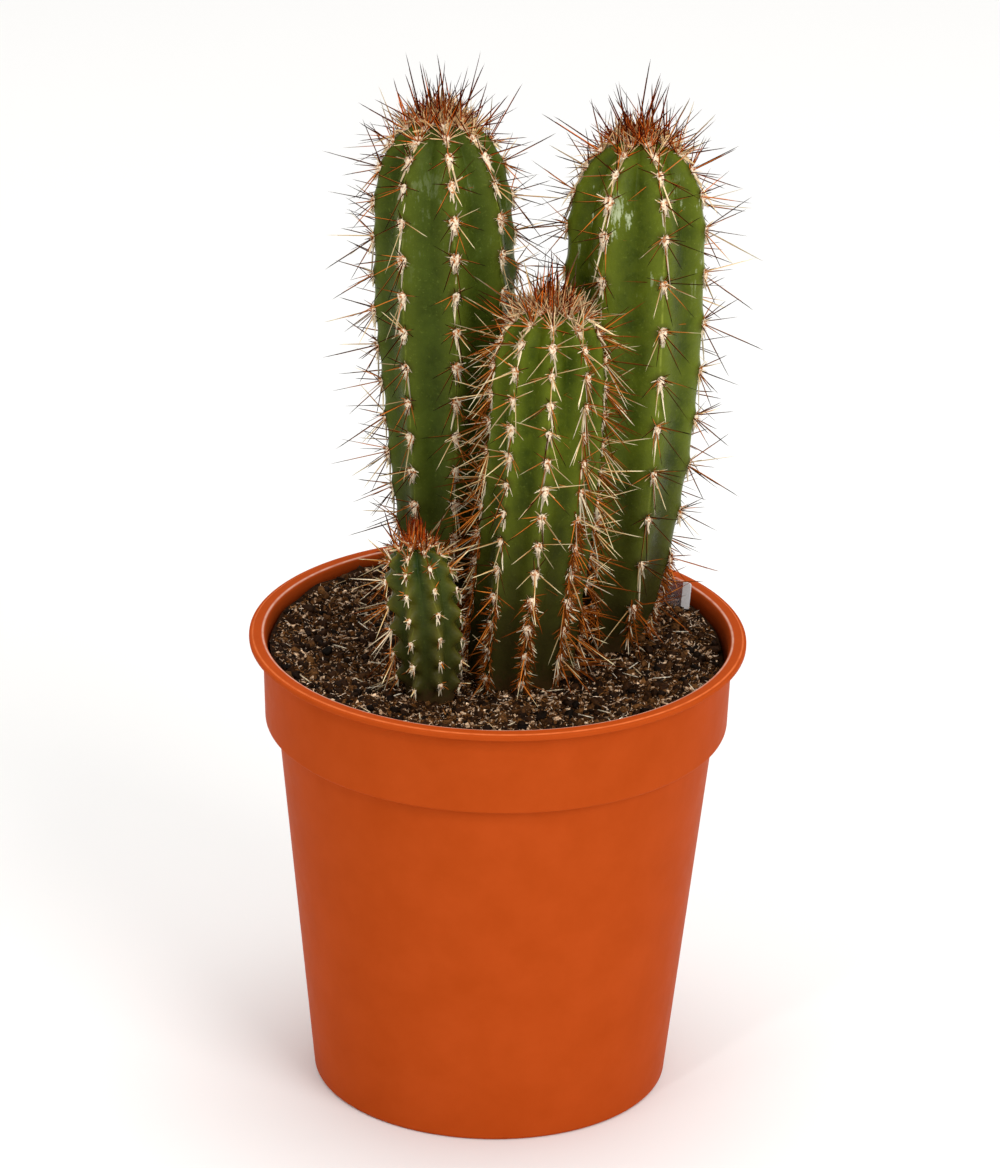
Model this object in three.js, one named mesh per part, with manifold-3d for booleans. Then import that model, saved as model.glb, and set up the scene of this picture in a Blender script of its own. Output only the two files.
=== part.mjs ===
// A potted tall cactus: four ribbed, spiny stems of one columnar cactus, standing in soil
// in a round plastic nursery pot, with a small blank plant label pushed in beside them.
// Millimetres, +Z up. The origin is the centre of the pot's base, on the surface below it,
// and the plant's front, where the smallest stem grows, faces -Y.

import * as THREE from "three";
import { mergeVertices } from "three/addons/utils/BufferGeometryUtils.js";
import Module from "manifold-3d";

const manifold = await Module();
manifold.setup();

// ---------------------------------------------------------------- driving dimensions

const CLEARANCE = 0.3; // between two pieces that rest on each other
const ROUND_SIDES = 48; // facets round the pot and the soil

// The pot: a thin moulded shell with a flat lip, a collar and a tapered body.
const LIP_RADIUS = 60;
const LIP_THICKNESS = 1.5;
const LIP_INNER_RADIUS = 56.8;
const POT_HEIGHT = 115.2;
const COLLAR_TOP_RADIUS = 56.7;
const COLLAR_FOOT_RADIUS = 55.9;
const COLLAR_FOOT_Z = 93;
const BODY_TOP_RADIUS = 52.9;
const BODY_FOOT_RADIUS = 43;
const POT_WALL = 1.1;
const FLOOR_THICKNESS = 1.4;
const FOOT_RING_HEIGHT = 2; // the floor is held this far off the surface
const FOOT_RING_INNER_RADIUS = 36.5;
const FOOT_ROUNDING = 1;
const DRAIN_HOLES = 6;
const DRAIN_HOLE_RADIUS = 4;
const DRAIN_CIRCLE_RADIUS = 28;

// The soil: dished in the middle, heaped to the wall at the back and left, low at the right.
const SOIL_MIDDLE_Z = 107.6;
const SOIL_RISE = 5;
const SOIL_BUMP = 0.7;
const SOIL_RING_RADII = [53, 46, 38, 30, 22, 14, 7];

// The stems. A rib's angle is measured from the front, -Y, towards +X.
// axis: [z, x, y] along the stem's middle. girth: [z, radius over the rib crests].
// dome: where the rounded crown starts. groove and crownGroove: depth of the furrows between
// the ribs, as a share of the radius, along the column and in the pleats of the crown.
const STEMS = [
  {
    name: "stem_left",
    color: 0x3c5f22,
    ribs: 8,
    firstRib: 10,
    twist: 0,
    groove: 0.11,
    crownGroove: 0.22,
    axis: [[96, -12.4, 17], [132, -13, 17], [170, -13.6, 17], [205, -14.6, 17], [240, -16.1, 17.3]],
    girth: [[96, 7.6], [110, 9.1], [132, 10.9], [150, 13.2], [169, 14.9], [194, 16.9], [212, 16.7]],
    dome: 212,
    apex: 240,
    areoleSpacing: 9.2,
    columnRings: 12,
    radialLength: [5, 8],
    centralLength: [8.5, 12.5],
    crownLength: [11, 16],
  },
  {
    name: "stem_right",
    color: 0x42702a,
    ribs: 7,
    firstRib: 22.8,
    twist: 0,
    groove: 0.12,
    crownGroove: 0.24,
    axis: [
      [95, 26, 13.8], [108, 26.8, 14], [129, 29, 14.4],
      [160, 30.6, 14.8], [205, 31, 15], [237, 31.4, 15],
    ],
    girth: [
      [95, 6.6], [108, 8], [118, 10.1], [129, 11.9],
      [140, 13.1], [160, 15.2], [190, 16.8], [210, 16.7],
    ],
    dome: 210,
    apex: 237,
    areoleSpacing: 12.3,
    columnRings: 11,
    radialLength: [5, 8.5],
    centralLength: [8, 13],
    crownLength: [11, 15.5],
  },
  {
    name: "stem_centre",
    color: 0x456f26,
    ribs: 9,
    firstRib: 2.6,
    twist: 0,
    groove: 0.14,
    crownGroove: 0.2,
    axis: [
      [95, 3.9, -7.4], [109, 5.1, -7.6], [128, 6.7, -8],
      [161, 9.7, -8.4], [185, 10.7, -8.6], [204, 11.2, -8.6],
    ],
    girth: [[95, 10.6], [107, 12.9], [128, 13.5], [161, 13.6], [184, 13.3]],
    dome: 184,
    apex: 203.2,
    areoleSpacing: 7.2,
    columnRings: 10,
    radialLength: [5, 8.5],
    centralLength: [8, 12],
    crownLength: [9, 14],
  },
  {
    name: "stem_small",
    color: 0x4a6c2c,
    ribs: 8,
    firstRib: 17,
    twist: 6,
    groove: 0.16,
    crownGroove: 0.22,
    axis: [
      [98, -15.6, -21.6], [109, -15.9, -21.8], [128, -17.1, -22],
      [143, -19.2, -22.2], [148, -19.9, -22.2],
    ],
    girth: [[98, 5.4], [108, 6.9], [118, 8], [128, 8.7], [135, 8.6]],
    dome: 135,
    apex: 147.5,
    areoleSpacing: 6.2,
    columnRings: 7,
    radialLength: [2.5, 4],
    centralLength: [4, 6.5],
    crownLength: [6, 9.5],
  },
];
const COLUMNS_PER_RIB = 4; // crest, flank, furrow, flank
const DOME_SHARPNESS = 2.5; // 2 would be an ellipse, more is flatter on top
const DOME_STEPS = [0.36, 0.62, 0.8, 0.92, 0.98];
const APEX_DIMPLE = 0.8;
const PLEAT_REACH = 10; // the pleats of the crown start this far below the dome
const STEM_CLEARANCE_IN_SOIL = 0.35;

// Spines: three-sided needles, set in the areoles along each rib's crest.
const SPINE_RADIUS = 0.42;
const SPINE_ROOT_DEPTH = 1.2;
const RADIAL_RISE = 36; // degrees off the skin
const CENTRAL_RISE = [60, 84];
const CROWN_REACH = 12; // arc from the apex in which the spines are young and stand up
const CROWN_LIFT = 0.5;
const FIRST_AREOLE_GAP = 3; // areoles crowd at the apex, and spread out by this growth
const AREOLE_GAP_GROWTH = 1.3;
const APEX_BARE_ARC = 1.8;
const RADIAL_ROWS = 2; // every so many areoles of a rib have a radial needle too
const SPINE_GAP = 0.8; // left between a needle and any piece that it doesn't grow from

// The plant label: a thin pointed stake, its top just over the lip.
const LABEL_WIDTH = 12;
const LABEL_THICKNESS = 0.8;
const LABEL_TOP_Z = 117.8;
const LABEL_LENGTH = 48;
const LABEL_POINT_LENGTH = 12;
const LABEL_CENTRE = [41.6, 29.4];
const LABEL_TURN = 155.5; // degrees from +X to the label's wide side
const LABEL_LEAN = 11; // degrees that its top leans out towards the wall
const LABEL_CORNER = 0.8;

// ---------------------------------------------------------------- small helpers

const radians = THREE.MathUtils.degToRad;
const mix = THREE.MathUtils.lerp;

// The same pseudo-random number from 0 to 1 for the same whole numbers.
function chance(a, b, c, d) {
  const wave = Math.sin(a * 12.9898 + b * 78.233 + c * 37.719 + d * 9.151) * 43758.5453;
  return wave - Math.floor(wave);
}

// A smooth curve through rows of [z, value, ...], read at a height z.
function smoothAt(rows, column, z) {
  const last = rows.length - 1;
  const slope = (i) => {
    const a = rows[Math.max(i - 1, 0)];
    const b = rows[Math.min(i + 1, last)];
    return (b[column] - a[column]) / (b[0] - a[0]);
  };
  if (z <= rows[0][0]) return rows[0][column] + slope(0) * (z - rows[0][0]);
  if (z >= rows[last][0]) return rows[last][column] + slope(last) * (z - rows[last][0]);
  const i = rows.findIndex((row) => row[0] > z) - 1;
  const span = rows[i + 1][0] - rows[i][0];
  const t = (z - rows[i][0]) / span;
  const bend = (1 - t) * (1 - t) * t * slope(i) - t * t * (1 - t) * slope(i + 1);
  return mix(rows[i][column], rows[i + 1][column], t * t * (3 - 2 * t)) + span * bend;
}

// A closed geometry, its doubled vertices merged, as a solid that can be joined and cut.
function solid(geometry) {
  const bare = new THREE.BufferGeometry();
  bare.setAttribute("position", geometry.getAttribute("position"));
  bare.setIndex(geometry.getIndex());
  const merged = mergeVertices(bare, 1e-4);
  const corners = merged.getIndex().array;
  const triangles = [];
  for (let i = 0; i < corners.length; i += 3) {
    const [a, b, c] = corners.slice(i, i + 3);
    if (a !== b && b !== c && c !== a) triangles.push(a, b, c);
  }
  const mesh = new manifold.Mesh({
    numProp: 3,
    vertProperties: new Float32Array(merged.getAttribute("position").array),
    triVerts: new Uint32Array(triangles),
  });
  return new manifold.Manifold(mesh);
}

// Joins many solids two by two, which is faster than one after another.
function joined(solids) {
  let left = solids;
  while (left.length > 1) {
    const pairs = [];
    for (let i = 0; i < left.length; i += 2) {
      pairs.push(i + 1 < left.length ? left[i].add(left[i + 1]) : left[i]);
    }
    left = pairs;
  }
  return left[0];
}

function meshOf(name, body, color, roughness) {
  const { vertProperties, triVerts } = body.getMesh();
  const geometry = new THREE.BufferGeometry();
  geometry.setAttribute("position", new THREE.BufferAttribute(new Float32Array(vertProperties), 3));
  geometry.setIndex(new THREE.BufferAttribute(new Uint32Array(triVerts), 1));
  geometry.computeVertexNormals();
  const material = new THREE.MeshStandardMaterial({ color, roughness, metalness: 0 });
  const mesh = new THREE.Mesh(geometry, material);
  mesh.name = name;
  return mesh;
}

// A profile of [radius, z] points turned round the Z axis.
function turned(profile, sides) {
  const points = profile.map(([radius, z]) => new THREE.Vector2(radius, z));
  return new THREE.LatheGeometry(points, sides).rotateX(Math.PI / 2);
}

// A straight round peg of any number of sides from one point to another.
function peg(from, to, radiusFrom, radiusTo, sides) {
  const along = new THREE.Vector3().subVectors(to, from);
  const length = along.length();
  const turn = new THREE.Quaternion();
  turn.setFromUnitVectors(new THREE.Vector3(0, 1, 0), along.normalize());
  return new THREE.CylinderGeometry(radiusTo, radiusFrom, length, sides)
    .translate(0, length / 2, 0)
    .applyQuaternion(turn)
    .translate(from.x, from.y, from.z);
}

// ---------------------------------------------------------------- pot

const BODY_SLOPE = (BODY_TOP_RADIUS - BODY_FOOT_RADIUS) / COLLAR_FOOT_Z;
const floorTopZ = FOOT_RING_HEIGHT + FLOOR_THICKNESS;
const stepInnerZ = COLLAR_FOOT_Z + POT_WALL;
const bodyInnerRadius = (z) => BODY_FOOT_RADIUS + BODY_SLOPE * z - POT_WALL;
const COLLAR_SLOPE = (COLLAR_TOP_RADIUS - COLLAR_FOOT_RADIUS) / (POT_HEIGHT - COLLAR_FOOT_Z);
const collarInnerRadius = (z) => COLLAR_FOOT_RADIUS + COLLAR_SLOPE * (z - COLLAR_FOOT_Z) - POT_WALL;

function pot() {
  const lipFootZ = POT_HEIGHT - LIP_THICKNESS;
  const shell = turned(
    [
      [0, FOOT_RING_HEIGHT],
      [FOOT_RING_INNER_RADIUS - 1, FOOT_RING_HEIGHT],
      [FOOT_RING_INNER_RADIUS, 0],
      [BODY_FOOT_RADIUS - FOOT_ROUNDING, 0],
      [BODY_FOOT_RADIUS - 0.2 * FOOT_ROUNDING, 0.3 * FOOT_ROUNDING],
      [BODY_FOOT_RADIUS + BODY_SLOPE * FOOT_ROUNDING, FOOT_ROUNDING],
      [BODY_TOP_RADIUS, COLLAR_FOOT_Z],
      [COLLAR_FOOT_RADIUS - 0.4, COLLAR_FOOT_Z],
      [COLLAR_FOOT_RADIUS, COLLAR_FOOT_Z + 0.6],
      [COLLAR_TOP_RADIUS, lipFootZ - 0.4],
      [LIP_RADIUS - 0.5, lipFootZ],
      [LIP_RADIUS, lipFootZ + 0.4],
      [LIP_RADIUS, POT_HEIGHT - 0.4],
      [LIP_RADIUS - 0.5, POT_HEIGHT],
      [LIP_INNER_RADIUS, POT_HEIGHT],
      [LIP_INNER_RADIUS - 0.7, POT_HEIGHT - 0.5],
      [collarInnerRadius(POT_HEIGHT - 2), POT_HEIGHT - 2],
      [collarInnerRadius(stepInnerZ + 0.5), stepInnerZ + 0.5],
      [collarInnerRadius(stepInnerZ) - 0.5, stepInnerZ],
      [bodyInnerRadius(COLLAR_FOOT_Z), stepInnerZ],
      [bodyInnerRadius(floorTopZ), floorTopZ],
      [0, floorTopZ],
    ],
    ROUND_SIDES,
  );
  let body = solid(shell);
  for (let i = 0; i < DRAIN_HOLES; i += 1) {
    const angle = (2 * Math.PI * i) / DRAIN_HOLES;
    const x = DRAIN_CIRCLE_RADIUS * Math.cos(angle);
    const y = DRAIN_CIRCLE_RADIUS * Math.sin(angle);
    const from = new THREE.Vector3(x, y, -1);
    const to = new THREE.Vector3(x, y, floorTopZ + 1);
    body = body.subtract(solid(peg(from, to, DRAIN_HOLE_RADIUS, DRAIN_HOLE_RADIUS, 16)));
  }
  return meshOf("pot", body, 0xc14e1e, 0.38);
}

// ---------------------------------------------------------------- soil

// The height of the soil's top. It rises to the wall, except at the right.
function soilTopZ(x, y) {
  const reach = Math.min(Math.hypot(x, y) / SOIL_RING_RADII[0], 1);
  const angle = THREE.MathUtils.radToDeg(Math.atan2(y, x));
  const lowRight = 0.75 * Math.exp(-(((angle - 2) / 16) ** 2));
  const wall = 0.85 + 0.15 * Math.cos(radians(angle - 130)) - lowRight;
  const bumps = Math.sin(0.31 * x + 0.6) * Math.cos(0.27 * y) + 0.6 * Math.sin(0.17 * (x - y) + 2);
  return SOIL_MIDDLE_Z + SOIL_RISE * reach ** 2.5 * wall + SOIL_BUMP * bumps;
}

// A plain round hole in the soil, wide enough for all of a stem's foot and leaning with it.
function stemHole(stem) {
  const foot = stem.axis[0][0];
  const top = soilTopZ(...axisAt(stem, SOIL_MIDDLE_Z)) + 1.5;
  let radius = 0;
  for (let z = foot; z <= top; z += 1) {
    const [x, y] = axisAt(stem, z);
    const straight = footPoint(stem, z);
    radius = Math.max(radius, crestRadius(stem, z) + Math.hypot(x - straight.x, y - straight.y));
  }
  radius += STEM_CLEARANCE_IN_SOIL;
  const low = foot - CLEARANCE;
  const high = top + 12;
  const hole = turned([[0, low], [radius, low], [radius, high], [0, high]], 24);
  const points = hole.getAttribute("position");
  for (let i = 0; i < points.count; i += 1) {
    const shift = footPoint(stem, points.getZ(i));
    points.setXY(i, points.getX(i) + shift.x, points.getY(i) + shift.y);
  }
  return solid(hole);
}

function soil() {
  const gap = CLEARANCE;
  const sideTopZ = POT_HEIGHT - 8;
  const side = [
    [0, floorTopZ + gap],
    [bodyInnerRadius(floorTopZ) - gap, floorTopZ + gap],
    [bodyInnerRadius(COLLAR_FOOT_Z) - gap, stepInnerZ + gap],
    [collarInnerRadius(stepInnerZ) - gap - 0.7, stepInnerZ + gap],
    [collarInnerRadius(stepInnerZ) - gap, stepInnerZ + gap + 0.7],
    [collarInnerRadius(sideTopZ) - gap - 0.2, sideTopZ],
  ];
  const top = SOIL_RING_RADII.map((radius) => [radius, POT_HEIGHT]);
  const lump = turned([...side, ...top, [0, POT_HEIGHT]], ROUND_SIDES);
  const points = lump.getAttribute("position");
  for (let i = 0; i < points.count; i += 1) {
    if (points.getZ(i) > sideTopZ + 1) points.setZ(i, soilTopZ(points.getX(i), points.getY(i)));
  }
  let body = solid(lump);
  for (const stem of STEMS) body = body.subtract(stemHole(stem));
  const slot = solid(labelShape(CLEARANCE));
  return meshOf("soil", body.subtract(slot), 0x32241a, 0.95);
}

// ---------------------------------------------------------------- stems

const axisAt = (stem, z) => [smoothAt(stem.axis, 1, z), smoothAt(stem.axis, 2, z)];

// Below the soil the stem runs straight on from its foot.
function footPoint(stem, z) {
  const [low, next] = stem.axis;
  const share = (z - low[0]) / (next[0] - low[0]);
  return new THREE.Vector3(mix(low[1], next[1], share), mix(low[2], next[2], share), z);
}

// The radius over the rib crests: the girth curve, then a rounded crown.
function crestRadius(stem, z) {
  if (z < stem.dome) return smoothAt(stem.girth, 1, z);
  const rise = Math.min((z - stem.dome) / (stem.apex - stem.dome), 1);
  const full = stem.girth[stem.girth.length - 1][1];
  return full * (1 - rise ** DOME_SHARPNESS) ** (1 / DOME_SHARPNESS);
}

// The angle of a rib's crest in the plan, from +X.
const ribAngle = (stem, rib, z) =>
  radians(stem.firstRib + (360 / stem.ribs) * rib + (stem.twist * (z - stem.axis[0][0])) / 40 - 90);

// How far the skin stands out at an angle: 1 on a crest, less in the furrows between.
// The furrows are soft waves along the column and turn into sharp pleats at the crown.
function ribShape(stem, angle, z) {
  const crown = THREE.MathUtils.smoothstep(z, stem.dome - PLEAT_REACH, stem.apex);
  const wave = Math.abs(Math.cos((stem.ribs * (angle - ribAngle(stem, 0, z))) / 2));
  const depth = mix(stem.groove, stem.crownGroove, crown);
  return 1 - depth * (1 - mix(wave * wave, wave, crown));
}

// The smooth column, turned on a lathe, then drawn in between the ribs and bent to its axis.
function stemColumn(stem) {
  const foot = stem.girth[0][0];
  const heights = [];
  for (let i = 0; i <= stem.columnRings; i += 1) {
    heights.push(mix(foot, stem.dome, i / stem.columnRings));
  }
  for (const step of DOME_STEPS) heights.push(mix(stem.dome, stem.apex, step));
  const profile = heights.map((z) => [crestRadius(stem, z), z]);
  const columns = stem.ribs * COLUMNS_PER_RIB;
  const column = turned([[0, foot], ...profile, [0, stem.apex - APEX_DIMPLE]], columns);
  const points = column.getAttribute("position");
  for (let i = 0; i < points.count; i += 1) {
    const z = points.getZ(i);
    const radius = Math.hypot(points.getX(i), points.getY(i));
    const step = Math.round((Math.atan2(points.getY(i), points.getX(i)) * columns) / (2 * Math.PI));
    const angle = ribAngle(stem, 0, z) + (2 * Math.PI * step) / columns;
    const [x, y] = axisAt(stem, z);
    const out = radius * ribShape(stem, angle, z);
    points.setXYZ(i, x + out * Math.cos(angle), y + out * Math.sin(angle), z);
  }
  return solid(column);
}

// The crest line of a stem as [arc from the apex, radius, z], from the apex to the soil.
function crestLine(stem) {
  const line = [[0, 0, stem.apex - APEX_DIMPLE]];
  const soilZ = SOIL_MIDDLE_Z + 3;
  const count = 160;
  for (let i = 1; i <= count; i += 1) {
    const share = i / count;
    const z = mix(stem.apex, soilZ, share * share);
    const radius = crestRadius(stem, z);
    const [arc, lastRadius, lastZ] = line[line.length - 1];
    line.push([arc + Math.hypot(radius - lastRadius, z - lastZ), radius, z]);
  }
  return line;
}

// Every areole: where it sits on its rib's crest, and which way the crest faces and climbs.
function areoles(stem) {
  const line = crestLine(stem);
  const end = line[line.length - 1][0];
  const found = [];
  for (let rib = 0; rib < stem.ribs; rib += 1) {
    let gap = FIRST_AREOLE_GAP;
    let arc = APEX_BARE_ARC + (rib % 2 ? 0.5 * gap : 0);
    for (let row = 0; arc < end; row += 1) {
      const i = Math.max(line.findIndex((entry) => entry[0] >= arc), 1);
      const [arcA, radiusA, zA] = line[i - 1];
      const [arcB, radiusB, zB] = line[i];
      const share = (arc - arcA) / (arcB - arcA);
      const radius = mix(radiusA, radiusB, share);
      const z = mix(zA, zB, share);
      const angle = ribAngle(stem, rib, z);
      const [x, y] = axisAt(stem, z);
      const outward = new THREE.Vector3(Math.cos(angle), Math.sin(angle), 0);
      const climb = outward.clone().multiplyScalar(radiusA - radiusB);
      climb.z = zA - zB;
      climb.normalize();
      const side = new THREE.Vector3(-Math.sin(angle), Math.cos(angle), 0);
      const facing = new THREE.Vector3().crossVectors(side, climb);
      const place = outward.clone().multiplyScalar(radius).add(new THREE.Vector3(x, y, z));
      found.push({ rib, row, arc, place, climb, side, facing });
      arc += gap;
      gap = Math.min(gap * AREOLE_GAP_GROWTH, stem.areoleSpacing);
    }
  }
  return found;
}

// A needle's direction: turned round the areole from the rib's upward line, raised off the skin.
function needleDirection(areole, turn, rise) {
  const flat = Math.cos(radians(rise));
  const direction = areole.climb.clone().multiplyScalar(flat * Math.cos(radians(turn)));
  direction.addScaledVector(areole.side, flat * Math.sin(radians(turn)));
  direction.addScaledVector(areole.facing, Math.sin(radians(rise)));
  direction.z += CROWN_LIFT * Math.max(0, 1 - areole.arc / CROWN_REACH);
  return direction.normalize();
}

// The needles of every areole: one long central, and on some a shorter radial.
function needlesOf(stem, number) {
  const needles = [];
  for (const areole of areoles(stem)) {
    const draw = (kind) => chance(number + 1, areole.rib + 1, areole.row + 1, kind);
    const young = areole.arc < CROWN_REACH;
    const root = areole.place.clone().addScaledVector(areole.facing, -SPINE_ROOT_DEPTH);
    const centralRange = young ? stem.crownLength : stem.centralLength;
    needles.push({
      areole,
      root,
      turn: 360 * draw(1),
      rise: mix(...CENTRAL_RISE, draw(2)),
      length: mix(...centralRange, draw(3)),
    });
    if ((areole.row + areole.rib) % RADIAL_ROWS) continue;
    needles.push({
      areole,
      root,
      turn: 360 * draw(4),
      rise: RADIAL_RISE,
      length: mix(...stem.radialLength, draw(5)),
    });
  }
  return needles;
}

// The shortest distance between two straight pieces, each from a point to a point.
function segmentGap(a, b, c, d) {
  const u = new THREE.Vector3().subVectors(b, a);
  const v = new THREE.Vector3().subVectors(d, c);
  const w = new THREE.Vector3().subVectors(a, c);
  const uu = u.dot(u);
  const uv = u.dot(v);
  const vv = v.dot(v);
  const spread = uu * vv - uv * uv;
  const clamp = (value) => THREE.MathUtils.clamp(value, 0, 1);
  let s = spread > 1e-9 ? clamp((uv * v.dot(w) - vv * u.dot(w)) / spread) : 0;
  const t = clamp((uv * s + v.dot(w)) / vv);
  s = clamp((uv * t - u.dot(w)) / uu);
  return w.addScaledVector(u, s).addScaledVector(v, -t).length();
}

// Whether a needle stays clear of every piece but its own stem.
function isClear(stem, root, tip, others) {
  for (const share of [0.25, 0.4, 0.55, 0.7, 0.85, 1]) {
    const point = new THREE.Vector3().lerpVectors(root, tip, share);
    if (Math.max(Math.abs(point.x), Math.abs(point.y)) > LIP_RADIUS - SPINE_GAP) return false;
    if (point.z < soilTopZ(point.x, point.y) + SPINE_GAP) return false;
    const inPot = point.z < POT_HEIGHT + SPINE_GAP;
    const wall = collarInnerRadius(COLLAR_FOOT_Z) - SPINE_GAP;
    if (inPot && Math.hypot(point.x, point.y) > wall) return false;
    const fromLabel = labelFrame(point);
    const besideLabel = Math.abs(fromLabel.x) > LABEL_WIDTH / 2 + SPINE_GAP;
    const offLabel = Math.abs(fromLabel.y) > LABEL_THICKNESS / 2 + SPINE_GAP;
    if (!besideLabel && !offLabel && fromLabel.z < SPINE_GAP) return false;
    for (const other of STEMS) {
      if (other === stem || point.z > other.apex + SPINE_GAP) continue;
      const [x, y] = axisAt(other, point.z);
      const reach = crestRadius(other, Math.min(point.z, other.apex - 1)) + SPINE_GAP;
      if (Math.hypot(point.x - x, point.y - y) < reach) return false;
    }
  }
  const between = (needle) => segmentGap(root, tip, needle.root, needle.tip);
  return others.every((needle) => between(needle) > SPINE_GAP + SPINE_RADIUS);
}

// Tries a needle as it grew, then bent aside or shortened, and leaves it out if none is clear.
function placedNeedle(stem, needle, others) {
  for (const shorten of [1, 0.7]) {
    for (const bend of [0, 25, -25, 50, -50, 90, -90, 140, 180]) {
      const direction = needleDirection(needle.areole, needle.turn + bend, needle.rise);
      const reach = needle.length * shorten + SPINE_ROOT_DEPTH;
      const tip = needle.root.clone().addScaledVector(direction, reach);
      if (isClear(stem, needle.root, tip, others)) return { root: needle.root, tip };
    }
  }
  return null;
}

function stems() {
  const meshes = [];
  const grown = [];
  STEMS.forEach((stem, number) => {
    const needles = needlesOf(stem, number)
      .map((needle) => placedNeedle(stem, needle, grown))
      .filter(Boolean);
    const cones = needles.map(({ root, tip }) => solid(peg(root, tip, SPINE_RADIUS, 0, 3)));
    const body = joined([stemColumn(stem), ...cones]);
    meshes.push(meshOf(stem.name, body, stem.color, 0.55));
    grown.push(...needles);
  });
  return meshes;
}

// ---------------------------------------------------------------- plant label

// A point seen from the label: x along its width, y through it, z up from its top edge.
function labelFrame(point) {
  return new THREE.Vector3(point.x - LABEL_CENTRE[0], point.y - LABEL_CENTRE[1], point.z - LABEL_TOP_Z)
    .applyAxisAngle(new THREE.Vector3(0, 0, 1), -radians(LABEL_TURN))
    .applyAxisAngle(new THREE.Vector3(1, 0, 0), -radians(LABEL_LEAN));
}

// The stake's outline, extruded through its thickness; grown by a margin it cuts the slot.
function labelShape(margin) {
  const half = LABEL_WIDTH / 2 + margin;
  const shoulder = -LABEL_LENGTH + LABEL_POINT_LENGTH;
  const outline = new THREE.Shape();
  outline.moveTo(-half, shoulder);
  outline.lineTo(0, -LABEL_LENGTH - 1.5 * margin);
  outline.lineTo(half, shoulder);
  outline.lineTo(half, -LABEL_CORNER);
  outline.lineTo(half - LABEL_CORNER, 0);
  outline.lineTo(LABEL_CORNER - half, 0);
  outline.lineTo(-half, -LABEL_CORNER);
  outline.closePath();
  const depth = LABEL_THICKNESS + 2 * margin;
  return new THREE.ExtrudeGeometry(outline, { depth, bevelEnabled: false })
    .translate(0, 0, -depth / 2)
    .rotateX(Math.PI / 2 + radians(LABEL_LEAN))
    .rotateZ(radians(LABEL_TURN))
    .translate(...LABEL_CENTRE, LABEL_TOP_Z);
}

function plantLabel() {
  return meshOf("plant_label", solid(labelShape(0)), 0xd8d4d2, 0.3);
}

// ---------------------------------------------------------------- assembly

const cactus = new THREE.Group();
cactus.add(pot(), soil(), ...stems(), plantLabel());

export default cactus;
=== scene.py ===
"""The looks of a potted tall cactus: a moulded nursery pot, crumbly soil, four ribbed stems with
woolly areoles and spines, and a blank plant label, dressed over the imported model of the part."""

import math
from dataclasses import dataclass, field
from typing import NamedTuple

import bmesh
import bpy
import numpy as np
from mathutils import Matrix, Vector


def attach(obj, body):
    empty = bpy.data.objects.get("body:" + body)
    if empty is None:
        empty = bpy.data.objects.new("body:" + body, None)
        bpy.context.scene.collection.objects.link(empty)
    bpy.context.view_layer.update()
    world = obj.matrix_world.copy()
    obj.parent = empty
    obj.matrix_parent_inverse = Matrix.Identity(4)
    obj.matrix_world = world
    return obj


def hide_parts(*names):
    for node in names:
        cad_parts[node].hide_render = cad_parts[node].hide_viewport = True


bl_info = {
    "name": "Potted Tall Cactus",
    "version": (1, 0, 0),
    "blender": (4, 5, 0),
    "location": "View3D > Sidebar > Cactus",
    "description": "Builds a columnar cactus with spiny stems in a plastic nursery pot",
    "category": "Add Mesh",
}

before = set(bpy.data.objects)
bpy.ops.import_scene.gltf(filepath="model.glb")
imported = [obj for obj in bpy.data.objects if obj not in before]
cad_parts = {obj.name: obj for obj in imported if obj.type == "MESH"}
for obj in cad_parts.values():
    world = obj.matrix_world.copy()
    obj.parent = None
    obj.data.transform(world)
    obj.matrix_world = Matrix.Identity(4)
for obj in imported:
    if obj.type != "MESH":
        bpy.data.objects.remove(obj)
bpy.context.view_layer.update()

# The node kinds that the trees below use most.
MATH = "ShaderNodeMath"
VECTOR = "ShaderNodeVectorMath"
MIX = "ShaderNodeMix"
RANGE = "ShaderNodeMapRange"
NOISE = "ShaderNodeTexNoise"
NAMED = "GeometryNodeInputNamedAttribute"
STORE = "GeometryNodeStoreNamedAttribute"
RANDOM = "FunctionNodeRandomValue"
# What a Mix node needs to mix colours, and which of its outputs holds the result.
COLOUR = {"data_type": "RGBA", "out": 2}

# ------------------------------------------------------------------ sizes, in millimetres and degrees

MM = 0.001
LIP_RADIUS = 60.0
LIP_INNER_RADIUS = 56.8
LIP_THICKNESS = 1.5
LIP_STEP = 0.22  # from the flat of the lip down to its outer edge
POT_HEIGHT = 115.2
COLLAR_TOP_RADIUS = 56.7
COLLAR_FOOT_RADIUS = 55.9
COLLAR_FOOT_Z = 93.0
BODY_TOP_RADIUS = 52.9
BODY_FOOT_RADIUS = 43.0
POT_WALL = 1.1
FLOOR_THICKNESS = 1.4
FOOT_RING_HEIGHT = 2.0
FOOT_RING_INNER_RADIUS = 36.5
DRAIN_HOLES = 6
DRAIN_HOLE_RADIUS = 4.0
DRAIN_CIRCLE_RADIUS = 28.0

COLLAR_SLOPE = (COLLAR_TOP_RADIUS - COLLAR_FOOT_RADIUS) / (POT_HEIGHT - COLLAR_FOOT_Z)
BODY_SLOPE = (BODY_TOP_RADIUS - BODY_FOOT_RADIUS) / COLLAR_FOOT_Z
FLOOR_TOP = FOOT_RING_HEIGHT + FLOOR_THICKNESS

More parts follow.
